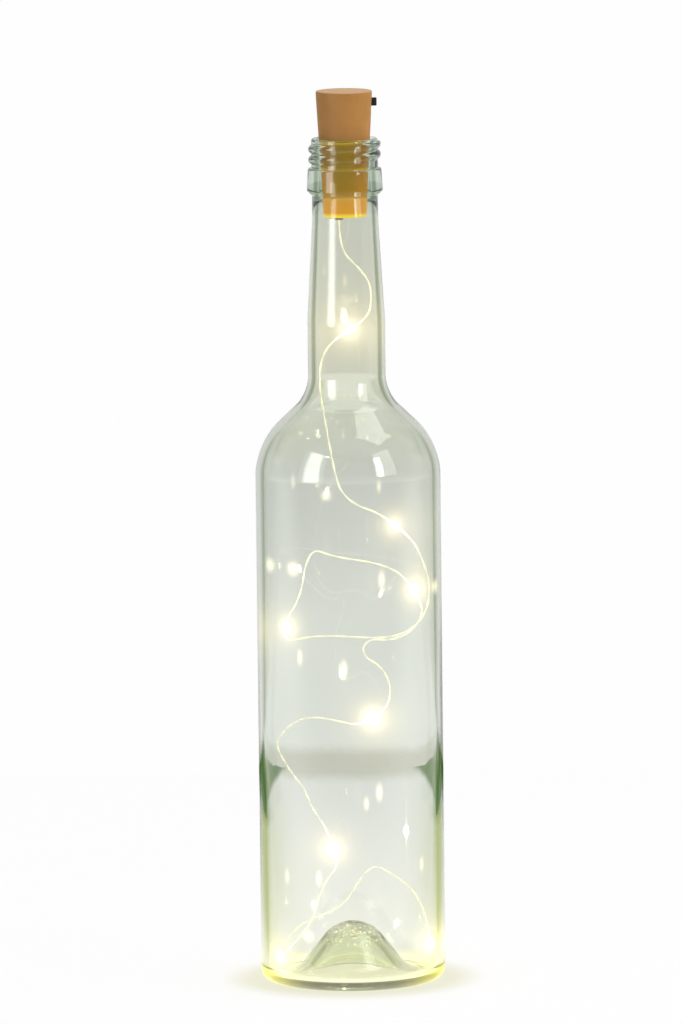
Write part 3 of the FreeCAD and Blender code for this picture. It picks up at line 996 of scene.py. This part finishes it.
@dataclass
class Outline:
    """A closed outline in the XZ plane whose corners can be rounded before it is turned."""

    corners: list[tuple[float, float, float]]
    rows: dict[int, int] = field(default_factory=dict)
    arc_steps: int = 9

    def _reach(self, index: int) -> float:
        """The distance from a corner to where its rounding starts.

        Args:
            index: The corner's number.

        Returns:
            The distance, no more than the runs beside it allow.
        """
        here = Vector(self.corners[index][:2])
        runs = []
        for step in (-1, 1):
            other = self.corners[(index + step) % len(self.corners)]
            run = Vector(other[:2]) - here
            runs.append((run, 0.49 if other[2] else 0.98))
        turn = math.pi - runs[0][0].angle(runs[1][0])
        reach = self.corners[index][2] * math.tan(turn / 2)
        return min([reach] + [run.length * share for run, share in runs])

    def turned(self, steps: int) -> bmesh.types.BMesh:
        """Turn the outline about Z into a closed shell.

        Args:
            steps: The number of faces round.

        Returns:
            The shell.
        """
        reaches = [self._reach(i) if corner[2] else 0.0 for i, corner in enumerate(self.corners)]
        places = [Vector((r, 0.0, z)) for r, z, _ in self.corners]
        bm = bmesh.new()
        points = [bm.verts.new(place) for place in places]
        for i, point in enumerate(points):
            if places[i].x > 0 or places[(i + 1) % len(points)].x > 0:
                bm.edges.new((point, points[(i + 1) % len(points)]))
        for i, cuts in self.rows.items():
            middle = (places[i] + places[(i + 1) % len(places)]) / 2
            side = min(bm.edges, key=lambda e: ((e.verts[0].co + e.verts[1].co) / 2 - middle).length)
            bmesh.ops.subdivide_edges(bm, edges=[side], cuts=cuts)
        for place, reach in zip(places, reaches):
            if reach > 0:
                bmesh.ops.bevel(
                    bm,
                    geom=[min(bm.verts, key=lambda v: (v.co - place).length)],
                    offset=reach,
                    offset_type="OFFSET",
                    affect="VERTICES",
                    segments=self.arc_steps,
                    profile=0.5,
                    material=-1,
                    clamp_overlap=False,
                )
        turn_about_axis(bm, steps)
        bmesh.ops.dissolve_degenerate(bm, dist=1.0e-7, edges=bm.edges)
        bmesh.ops.recalc_face_normals(bm, faces=bm.faces)
        return bm


@dataclass
class Bottle:
    """The glass bottle: its outline follows the frame's, with smooth roundings and the thread."""

    height: float = 339 * MM
    body_radius: float = 37 * MM
    wall: float = 3.1 * MM
    neck_wall: float = 2.8 * MM
    punt_wall: float = 4.2 * MM
    ring_radius: float = 30 * MM
    heel_round: float = 5.0 * MM
    inner_heel_round: float = 3.5 * MM
    punt_crown_radius: float = 5.15 * MM
    punt_crown_round: float = 10.2 * MM
    punt_foot_radius: float = 19.37 * MM
    punt_foot_height: float = 1.0 * MM
    punt_foot_round: float = 14.2 * MM
    straight_low: float = 12 * MM
    straight_drop: float = 21 * MM
    shoulder_height: float = 216.5 * MM
    shoulder_round: float = 28 * MM
    neck_corner_height: float = 236.9 * MM
    neck_foot_radius: float = 15.5 * MM
    neck_foot_round: float = 16 * MM
    taper_foot: float = 266 * MM
    taper_top: float = 306 * MM
    taper_round: float = 60 * MM
    neck_top_radius: float = 13.196 * MM
    finish_radius: float = 13.296 * MM
    bore_radius: float = 10.396 * MM
    bore_straight: float = 17 * MM
    bore_edge_round: float = 0.4 * MM
    mouth_drop: float = 1.0 * MM
    mouth_draft: float = 0.35 * MM
    mouth_round: float = 0.3 * MM
    mouth_flare: float = 1.0 * MM
    flare_round: float = 0.6 * MM
    collar_low: float = 316.2 * MM
    collar_radius: float = 15.196 * MM
    collar_height: float = 11 * MM
    collar_slope: float = 2.0 * MM
    collar_low_round: float = 0.6 * MM
    collar_draft: float = 0.5 * MM
    collar_top_round: float = 0.8 * MM
    floor_thickness: float = 3.6 * MM
    dome_height: float = 23.4 * MM
    dome_crown_radius: float = 7.2 * MM
    dome_crown_round: float = 14.4 * MM
    dome_foot_radius: float = 22.6 * MM
    dome_foot_round: float = 10.0 * MM
    inner_drop: float = 20 * MM
    thread_crest: float = 14.5 * MM
    thread_pitch: float = 4.2 * MM
    thread_turns: float = 2.3
    thread_start: float = 328.4 * MM
    thread_half_width: float = 1.75 * MM
    thread_fullness: float = 0.7
    thread_fade_turns: float = 0.12
    thread_low_gap: float = 0.15 * MM
    thread_top_gap: float = 1.05 * MM
    wave_top_gap: float = 0.3 * MM
    waves: tuple[tuple[float, int, float, float], ...] = (
        (0.12 * MM, 2, 0.7, 2.0), (0.05 * MM, 3, -1.3, -3.0), (0.015 * MM, 9, 2.1, 4.0),
    )
    skin: float = 0.02 * MM
    steps: int = 192
    arc_steps: int = 12
    body_rows: int = 30
    finish_rows: int = 44
    inside_rows: int = 40

    def outline(self) -> Outline:
        """The closed outline of the glass, outside and inside.

        Returns:
            The outline, with rows for the thread and for the body's wavy inside.
        """
        top = self.collar_low + self.collar_height
        inner_body = self.body_radius - self.wall
        inner_foot = self.neck_foot_radius - self.neck_wall
        slope = (self.neck_corner_height - self.shoulder_height) / (self.body_radius - self.neck_foot_radius)
        inner_shoulder = self.shoulder_height - self.wall * math.tan(math.atan(slope) / 2)
        inner_neck = inner_shoulder + (inner_body - inner_foot) * slope
        corners = [
            (0.0, self.dome_height - self.punt_wall, 0.0),
            (self.punt_crown_radius, self.dome_height - self.punt_wall, self.punt_crown_round),
            (self.punt_foot_radius, self.punt_foot_height, self.punt_foot_round),
            (self.ring_radius, 0.0, 0.0),
            (self.body_radius, 0.0, self.heel_round),
            (self.body_radius, self.straight_low, 0.0),
            (self.body_radius, self.shoulder_height - self.straight_drop, 0.0),
            (self.body_radius, self.shoulder_height, self.shoulder_round),
            (self.neck_foot_radius, self.neck_corner_height, self.neck_foot_round),
            (self.neck_foot_radius, self.taper_foot, self.taper_round),
            (self.neck_top_radius, self.taper_top, self.taper_round),
            (self.neck_top_radius, self.collar_low, 0.0),
            (self.collar_radius, self.collar_low + self.collar_slope, self.collar_low_round),
            (self.collar_radius - self.collar_draft, top, self.collar_top_round),
            (self.finish_radius, top, 0.0),
            (self.finish_radius, self.height - self.mouth_drop, 0.0),
            (self.finish_radius - self.mouth_draft, self.height, self.mouth_round),
            (self.bore_radius + self.mouth_flare, self.height, self.flare_round),
            (self.bore_radius, self.height - self.mouth_drop, self.bore_edge_round),
            (self.bore_radius, self.height - self.bore_straight, self.taper_round),
            (inner_foot, self.taper_foot, self.taper_round),
            (inner_foot, inner_neck, self.neck_foot_round + self.neck_wall),
            (inner_body, inner_shoulder, self.shoulder_round - self.wall),
            (inner_body, inner_shoulder - self.inner_drop, 0.0),
            (inner_body, self.straight_low, 0.0),
            (inner_body, self.floor_thickness, self.inner_heel_round),
            (self.dome_foot_radius, self.floor_thickness, self.dome_foot_round),
            (self.dome_crown_radius, self.dome_height, self.dome_crown_round),
            (0.0, self.dome_height, 0.0),
        ]
        rows = {5: self.body_rows, 14: self.finish_rows, 23: self.inside_rows}
        return Outline(corners, rows, self.arc_steps)

    def _thread(self, bm: bmesh.types.BMesh) -> None:
        """Raise the thread on the finish as one fading helix.

        Args:
            bm: The turned glass.
        """
        low = self.collar_low + self.collar_height + self.thread_low_gap
        high = self.height - self.thread_top_gap
        rise = self.thread_crest - self.finish_radius
        for v in bm.verts:
            radius = math.hypot(v.co.x, v.co.y)
            if not (low < v.co.z < high and radius > self.finish_radius - self.skin):
                continue
            turn = (math.atan2(v.co.y, v.co.x) / (2 * math.pi)) % 1.0
            lift = 0.0
            for k in range(-1, math.ceil(self.thread_turns) + 2):
                wound = turn + k
                if 0.0 <= wound <= self.thread_turns:
                    end = min(wound, self.thread_turns - wound)
                    fade = min(1.0, end / self.thread_fade_turns)
                    away = abs(v.co.z - self.thread_start - wound * self.thread_pitch)
                    bell = max(0.0, 1.0 - (away / self.thread_half_width) ** 2)
                    lift = max(lift, rise * fade * bell**self.thread_fullness)
            v.co.x *= 1 + lift / radius
            v.co.y *= 1 + lift / radius

    def _uneven_inside(self, bm: bmesh.types.BMesh) -> None:
        """Give the inside of the body the slow waves of blown glass.

        Args:
            bm: The turned glass.
        """
        low, high = self.straight_low, self.shoulder_height - self.straight_drop - self.wave_top_gap
        for v in bm.verts:
            radius = math.hypot(v.co.x, v.co.y)
            inside = abs(radius - (self.body_radius - self.wall)) < self.skin
            if not (low < v.co.z < high and inside):
                continue
            turn = math.atan2(v.co.y, v.co.x)
            share = (v.co.z - low) / (high - low)
            ease = math.sin(math.pi * share) ** 2
            wave = sum(
                size * math.sin(count * turn + phase + drift * share)
                for size, count, phase, drift in self.waves
            )
            v.co.x *= 1 + wave * ease / radius
            v.co.y *= 1 + wave * ease / radius

    def build(self) -> bpy.types.Object:
        """Build the glass.

        Returns:
            The bottle.
        """
        bm = self.outline().turned(self.steps)
        self._thread(bm)
        self._uneven_inside(bm)
        made = new_object("glass_bottle", mesh_of(bm, "glass_bottle"), GLASS)
        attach(made, Body.BOTTLE.value)
        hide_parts("bottle")
        LOG.info("glass bottle: %d faces", len(made.data.polygons))
        return made


@dataclass
class WireString:
    """The wire with its two strands, its resin drops and their chips."""

    diameter: float = 0.8 * MM
    length: float = 0.74
    strand_radius: float = 0.21 * MM
    drop_length: float = 5.0 * MM
    drop_radius: float = 1.45 * MM
    drop_steps: int = 20
    drop_shape: tuple[tuple[float, float], ...] = (
        (0.0, -1.0), (0.34, -0.99), (0.50, -0.90), (0.70, -0.72), (0.88, -0.46), (0.98, -0.2), (1.0, 0.04),
        (0.96, 0.26), (0.85, 0.48), (0.66, 0.72), (0.48, 0.90), (0.34, 0.99), (0.0, 1.0),
    )
    twist_pitch: float = 16 * MM
    spans: tuple[tuple[Colour, ...], ...] = (
        (
            (-2.4, -2.0, 306.9), (-2.4, -2.0, 300.0), (-0.4, -2.1, 292.4), (5.2, -2.0, 287.2),
            (9.4, -1.5, 281.4), (10.1, -1.4, 274.4), (8.6, -2.8, 267.0),
        ),
        (
            (-6.2, -4.2, 258.2), (-10.2, -3.4, 250.2), (-10.6, -3.6, 240.8), (-9.6, -6.5, 230.4),
            (-7.6, -8.6, 219.4), (-5.8, -10.2, 208.7), (-3.6, -12.2, 199.6), (2.4, -14.6, 193.6),
            (12.0, -15.5, 190.6),
        ),
        (
            (24.8, -14.5, 180.0), (28.6, -11.6, 170.6), (31.5, -6.6, 161.3), (30.5, -10.2, 151.6),
            (25.6, -18.5, 144.8), (17.0, -26.3, 142.0), (6.5, -30.7, 142.4), (-5.0, -31.0, 143.4),
            (-15.0, -27.2, 142.8), (-22.2, -21.8, 140.4), (-25.4, -14.8, 140.6),
        ),
        (
            (-25.0, -2.2, 146.6), (-21.8, 8.5, 150.2), (-19.2, 15.5, 156.4), (-18.3, 19.7, 164.2),
            (-14.8, 23.5, 171.0), (-7.6, 26.4, 167.8), (0.8, 27.3, 166.0), (9.2, 26.7, 164.9),
            (16.6, 23.4, 163.0), (22.6, 18.2, 160.3),
        ),
        (
            (29.4, 5.8, 150.9), (28.4, -4.3, 146.9), (24.0, -14.4, 142.2), (15.8, -22.0, 139.9),
            (8.4, -25.8, 141.4), (4.7, -27.0, 138.4), (5.9, -27.4, 134.0), (11.2, -27.3, 131.0),
            (15.1, -26.8, 124.9), (15.4, -26.0, 117.6), (13.2, -24.6, 112.2),
        ),
        (
            (4.0, -25.8, 106.2), (-5.0, -27.0, 108.6), (-13.4, -25.8, 110.2), (-20.6, -21.8, 108.4),
            (-26.3, -14.6, 102.6), (-29.8, -5.0, 96.2), (-27.6, 5.0, 88.6), (-23.8, 11.8, 81.4),
            (-18.8, 16.4, 74.4), (-16.2, 18.7, 66.4), (-10.4, 20.2, 57.9),
        ),
        (
            (-5.2, 20.8, 42.7), (-10.8, 21.0, 36.6), (-14.0, 20.5, 29.2), (-16.2, 19.0, 21.4),
            (-21.8, 16.5, 14.0), (-28.6, 12.2, 7.9),
        ),
        (
            (-30.6, -4.2, 7.9), (-26.6, -12.2, 16.3), (-22.5, -17.5, 23.5), (-14.5, -23.4, 29.0),
            (-7.0, -25.2, 31.8), (-1.6, -26.0, 36.6), (2.6, -26.2, 44.4), (8.6, -25.6, 50.6),
            (15.5, -23.4, 45.8), (22.6, -18.8, 39.8), (26.8, -13.8, 32.0), (29.0, -9.6, 24.2),
        ),
        ((33.0, 1.4, 4.2),),
    )

    def drops(self) -> list[tuple[Vector, Vector]]:
        """Where the drops sit.

        Returns:
            Each drop's centre and direction, in metres.
        """
        places = []
        for span, after in zip(self.spans, self.spans[1:]):
            a, b = Vector(span[-1]) * MM, Vector(after[0]) * MM
            places.append(((a + b) / 2, (b - a).normalized()))
        return places

    def centreline(self) -> list[Vector]:
        """Points along the wire's smooth line.

        Returns:
            The points, in metres, from the stopper to the last drop.
        """
        points = [Vector(p) * MM for span in self.spans[:-1] for p in span]
        points.append(self.drops()[-1][0])
        curve = bpy.data.curves.new("wire_line", "CURVE")
        curve.dimensions = "3D"
        curve.resolution_u = 10
        spline = curve.splines.new("NURBS")
        spline.points.add(len(points) - 1)
        for slot, point in zip(spline.points, points):
            slot.co = (*point, 1.0)
        spline.order_u = 3
        spline.use_endpoint_u = True
        line = mesh_of_curve(curve)
        path = [v.co.copy() for v in line.vertices]
        bpy.data.meshes.remove(line)
        return path

    def _strands(self, path: list[Vector]) -> bpy.types.Mesh:
        """Wind two strands round the wire's line.

        Args:
            path: The wire's line.

        Returns:
            The mesh of both strands.
        """
        curve = bpy.data.curves.new("wire_strands", "CURVE")
        curve.dimensions = "3D"
        curve.bevel_depth = self.strand_radius
        curve.bevel_resolution = 1
        curve.use_fill_caps = True
        side = Vector((1.0, 0.0, 0.0))
        along, places = 0.0, []
        for i, point in enumerate(path):
            ahead = (path[min(i + 1, len(path) - 1)] - path[max(i - 1, 0)]).normalized()
            side = (side - ahead * side.dot(ahead)).normalized()
            if i:
                along += (point - path[i - 1]).length
            angle = 2 * math.pi * along / self.twist_pitch
            places.append((point, side * math.cos(angle) + ahead.cross(side) * math.sin(angle)))
        for sign in (-1, 1):
            spline = curve.splines.new("POLY")
            spline.points.add(len(places) - 1)
            for slot, (point, offset) in zip(spline.points, places):
                slot.co = (*(point + offset * sign * (self.diameter / 2 - self.strand_radius)), 1.0)
        mesh = mesh_of_curve(curve)
        mesh.shade_smooth()
        return mesh

    def _drop(self, number: int, centre: Vector, direction: Vector) -> bpy.types.Object:
        """Make one resin drop round the wire.

        Args:
            number: The drop's number, from 1.
            centre: Its centre.
            direction: The wire's direction there.

        Returns:
            The drop.
        """
        half = self.drop_length / 2
        bm = bmesh.new()
        points = [bm.verts.new((r * self.drop_radius, 0.0, z * half)) for r, z in self.drop_shape]
        for a, b in zip(points, points[1:]):
            bm.edges.new((a, b))
        turn_about_axis(bm, self.drop_steps)
        bmesh.ops.recalc_face_normals(bm, faces=bm.faces)
        reach = bm.verts.layers.float.new("reach")
        for v in bm.verts:
            v[reach] = min(1.0, abs(v.co.z) / half)
        turn = Vector((0.0, 0.0, 1.0)).rotation_difference(direction).to_matrix().to_4x4()
        bmesh.ops.transform(bm, matrix=Matrix.Translation(centre) @ turn, verts=bm.verts)
        name = f"resin_drop_{number}"
        made = new_object(name, mesh_of(bm, name), FINISH_OF_SLOT["drop_resin"])
        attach(made, Body.CORK_LIGHT.value)
        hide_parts(f"led_drop_{number}")
        return made

    def build(self) -> bpy.types.Object:
        """Returns:
            The wire's strands.
        """
        path = self.centreline()
        wire = new_object("light_wire", self._strands(path), FINISH_OF_SLOT["wire_copper"])
        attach(wire, Body.CORK_LIGHT.value)
        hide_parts("string_wire")
        drops = [self._drop(i, *place) for i, place in enumerate(self.drops(), 1)]
        LOG.info("light wire: %d faces, %d drops", len(wire.data.polygons), len(drops))
        return wire


@dataclass
class Stopper:
    """The battery stopper's visible mouldings, with eased edges."""

    edge: float = 0.45 * MM
    knob_edge: float = 0.2 * MM
    edge_steps: int = 3
    seam: float = 356.4 * MM
    lug_radius: float = 9.2 * MM
    nearness: float = 0.01 * MM

    def _eased(
        self, node: str, name: str, body: Body, width: float, core: float = 0.0
    ) -> bpy.types.Object:
        """Copy a frame piece with its sharp edges rounded, except those at the lid's close seam.

        Args:
            node: The piece's node.
            name: The new piece's name.
            body: The body it rides on.
            width: The rounding's width.
            core: The radius inside which edges stay sharp.

        Returns:
            The new piece.
        """
        bm = bmesh.new()
        bm.from_mesh(frame["nodes"][node].data)
        bmesh.ops.remove_doubles(bm, verts=bm.verts, dist=2.0e-6)
        bmesh.ops.dissolve_limit(
            bm, angle_limit=math.radians(0.5), use_dissolve_boundaries=False, verts=bm.verts, edges=bm.edges
        )
        sharp = [
            e
            for e in bm.edges
            if len(e.link_faces) == 2
            and e.calc_face_angle(0.0) > math.radians(40)
            and not all(abs(v.co.z - self.seam) < self.nearness for v in e.verts)
            and not all(math.hypot(v.co.x, v.co.y) < core for v in e.verts)
        ]
        bmesh.ops.bevel(
            bm,
            geom=sharp,
            offset=width,
            offset_type="OFFSET",
            affect="EDGES",
            segments=self.edge_steps,
            profile=0.5,
            material=-1,
            clamp_overlap=True,
        )
        slot = next(p["material_slot"] for p in frame["record"]["subparts"] if p["node"] == node)
        made = new_object(name, mesh_of(bm, name), FINISH_OF_SLOT[slot])
        made.data.set_sharp_from_angle(angle=math.radians(35))
        for edge in made.data.edges:
            if all(abs(made.data.vertices[i].co.z - self.seam) < self.nearness for i in edge.vertices):
                edge.use_edge_sharp = True
        made.modifiers.new("weighted normals", "WEIGHTED_NORMAL").keep_sharp = True
        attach(made, body.value)
        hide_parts(node)
        LOG.info("%s: %d faces", name, len(made.data.polygons))
        return made

    def build(self) -> None:
        """Build the shell, the lid and the switch's knob."""
        self._eased("stopper_shell", "cork_shell", Body.CORK_LIGHT, self.edge)
        self._eased("battery_lid", "cork_lid", Body.LID, self.edge, self.lug_radius)
        self._eased("switch_knob", "slide_knob", Body.SWITCH, self.knob_edge)


def dress_frame() -> None:
    """Give every frame piece the finish of its slot."""
    slots = {p["node"]: p["material_slot"] for p in frame["record"]["subparts"]}
    for node, piece in frame["nodes"].items():
        piece.data.materials.clear()
        piece.data.materials.append(FINISH_OF_SLOT[slots[node]].material())
    LOG.info("frame pieces dressed: %d", len(frame["nodes"]))


@dataclass(frozen=True)
class SoftBox:
    """One flat lamp."""

    name: str
    place: Colour
    aim: Colour
    size: tuple[float, float]
    power: float
    lights_matt: bool = True
    shows_in_gloss: bool = False
    tone: Colour = (1.0, 0.995, 0.98)

    def hang(self) -> None:
        """Add the lamp to the scene."""
        data = bpy.data.lights.new(self.name, "AREA")
        data.shape = "RECTANGLE"
        data.size, data.size_y = self.size
        data.energy = self.power
        data.color = self.tone
        made = bpy.data.objects.new(self.name, data)
        made.location = self.place
        made.rotation_mode = "QUATERNION"
        made.rotation_quaternion = (Vector(self.aim) - Vector(self.place)).to_track_quat("-Z", "Y")
        made.visible_diffuse = self.lights_matt
        made.visible_glossy = self.shows_in_gloss
        bpy.context.scene.collection.objects.link(made)


@dataclass
class Studio:
    """The camera, the lamps, the floor and what surrounds them."""

    target: Colour = (-0.00296, 0.0, 0.1888)
    distance: float = 4.6
    elevation_deg: float = 7.58
    roll_deg: float = -0.64
    lens: float = 404.3
    sensor_width: float = 36.0
    floor_depth: float = StudioFloor.depth
    floor_reach: float = 3.0
    floor_sink: float = 0.05 * MM
    edge_height: float = FarShadeStrip.height
    plain_room: Colour = (0.42, 0.42, 0.42)
    white_room: Colour = (0.99, 0.99, 0.99)
    corner_run: Span = (0.60, 0.88)
    back_run: Span = (-0.2, 0.35)
    low_line: Span = (-0.147, -0.128)
    low_tones: tuple[Colour, Colour] = ((0.90, 0.91, 0.885), (0.735, 0.742, 0.715))
    dim_line: Span = (-0.150, -0.130)
    dim_tones: tuple[Colour, Colour] = ((0.46, 0.50, 0.41), (0.30, 0.35, 0.26))
    gloss_tones: tuple[Colour, Colour] = ((0.18, 0.19, 0.17), (0.85, 0.86, 0.85))
    front_tone: Colour = (0.17, 0.18, 0.16)
    boxes: tuple[SoftBox, ...] = (
        SoftBox("left box", (-1.12, -1.0, 0.80), (0.0, 0.0, 0.80), (0.90, 1.30), 3.5, True, True),
        SoftBox("right box", (1.30, -0.95, 0.95), (0.0, 0.0, 0.55), (0.80, 1.10), 11.0),
        SoftBox("top box", (0.70, -0.10, 1.75), (0.0, 0.0, 0.2), (0.9, 0.9), 11.0),
        SoftBox("left card", (-1.14, -1.02, 0.80), (0.0, 0.0, 0.80), (0.55, 1.34), 11.0, False, True),
        SoftBox("right card", (1.02, -1.14, 0.80), (0.0, 0.0, 0.55), (0.24, 0.80), 5.0, False, True),
    )

    def camera(self) -> None:
        """Set the camera at the photograph's view."""
        data = bpy.data.cameras.new("view")
        data.lens = self.lens
        data.sensor_width = self.sensor_width
        data.clip_start, data.clip_end = 0.1, 60.0
        made = bpy.data.objects.new("view", data)
        bpy.context.scene.collection.objects.link(made)
        rise = math.radians(self.elevation_deg)
        back = Vector((0.0, -math.cos(rise), math.sin(rise)))
        made.location = Vector(self.target) + back * self.distance
        made.rotation_mode = "QUATERNION"
        turn = Matrix.Rotation(math.radians(self.roll_deg), 3, "Z").to_quaternion()
        made.rotation_quaternion = (-back).to_track_quat("-Z", "Y") @ turn
        bpy.context.scene.camera = made

    def lamps(self) -> None:
        """Hang tall boxes on both sides and one above, and cards that only gloss shows."""
        for box in self.boxes:
            box.hang()

    def world(self) -> None:
        """Surround the object with white for the camera and a pale grey room for all else."""
        world = bpy.data.worlds.new("studio")
        bpy.context.scene.world = world
        world.use_nodes = True
        graph = Graph(world.node_tree)
        path = graph.node("ShaderNodeLightPath")
        camera = graph.signal(path, "Is Camera Ray")
        passed = graph.signal(path, "Is Transmission Ray")
        gloss = graph.signal(path, "Is Glossy Ray")
        split = graph.node(
            "ShaderNodeSeparateXYZ", values={0: graph.node("ShaderNodeTexCoord").outputs["Generated"]}
        )
        across, deep, up = (graph.signal(split, i) for i in range(3))
        wide, long = across * across, deep * deep
        square = (wide.most(long) / (wide + long + 1.0e-6)).between(*self.corner_run)
        low = graph.mixed(up.between(*self.low_line), *self.low_tones)
        dim = graph.mixed(up.between(*self.dim_line), *self.dim_tones)
        behind = deep.between(*self.back_run)
        back = graph.mixed(behind, *self.gloss_tones)
        through = graph.mixed(behind, self.front_tone, graph.mixed(square, dim, low))
        room = graph.surroundings(graph.mixed(gloss * (1.0 - passed), through, back))
        inner = graph.either(passed.most(gloss), graph.surroundings(self.plain_room), room)
        outer = graph.either(camera, inner, graph.surroundings(self.white_room))
        graph.node("ShaderNodeOutputWorld", values={"Surface": outer})

    @staticmethod
    def _sheet(name: str, place: Matrix, finish: Finish) -> None:
        """Lay one flat sheet that belongs to the stage.

        Args:
            name: The sheet's name.
            place: What takes a square of two by two metres to its place.
            finish: Its finish.
        """
        bm = bmesh.new()
        bmesh.ops.create_grid(bm, x_segments=1, y_segments=1, size=1.0)
        bmesh.ops.transform(bm, matrix=place, verts=bm.verts)
        new_object(name, mesh_of(bm, name), finish)

    def floor(self) -> None:
        """Lay the floor and the strip of painted shade at its far end."""
        deep = (self.floor_depth + self.floor_reach) / 2
        stretch = Matrix.Diagonal((self.floor_reach, deep, 1.0, 1.0))
        shift = Matrix.Translation((0.0, self.floor_depth - deep, -self.floor_sink))
        self._sheet("floor", shift @ stretch, StudioFloor())
        tall = self.edge_height / 2
        stretch = Matrix.Diagonal((self.floor_reach, tall, 1.0, 1.0))
        shift = Matrix.Translation((0.0, self.floor_depth, tall))
        stand = Matrix.Rotation(math.radians(90), 4, "X")
        # The strip of painted shade at the floor's far end.
        self._sheet("far_shade_strip", shift @ stand @ stretch, FarShadeStrip())

    def build(self) -> None:
        """Set up the whole studio."""
        self.camera()
        self.lamps()
        self.world()
        self.floor()
        bpy.context.scene.view_settings.view_transform = "Standard"
        bpy.context.scene.cycles.max_bounces = 24
        bpy.context.scene.cycles.transmission_bounces = 24


def main() -> None:
    """Build the scene in order."""
    logging.basicConfig(level=logging.INFO, format="%(name)s: %(message)s")
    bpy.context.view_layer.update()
    steps: list[tuple[str, Callable[[], Any]]] = [
        ("studio", Studio().build),
        ("frame finishes", dress_frame),
        ("wire string", WireString().build),
        ("bottle", Bottle().build),
        ("stopper", Stopper().build),
    ]
    for name, build in steps:
        build()
        LOG.info("%s: done", name)


if __name__ == "__main__":
    main()
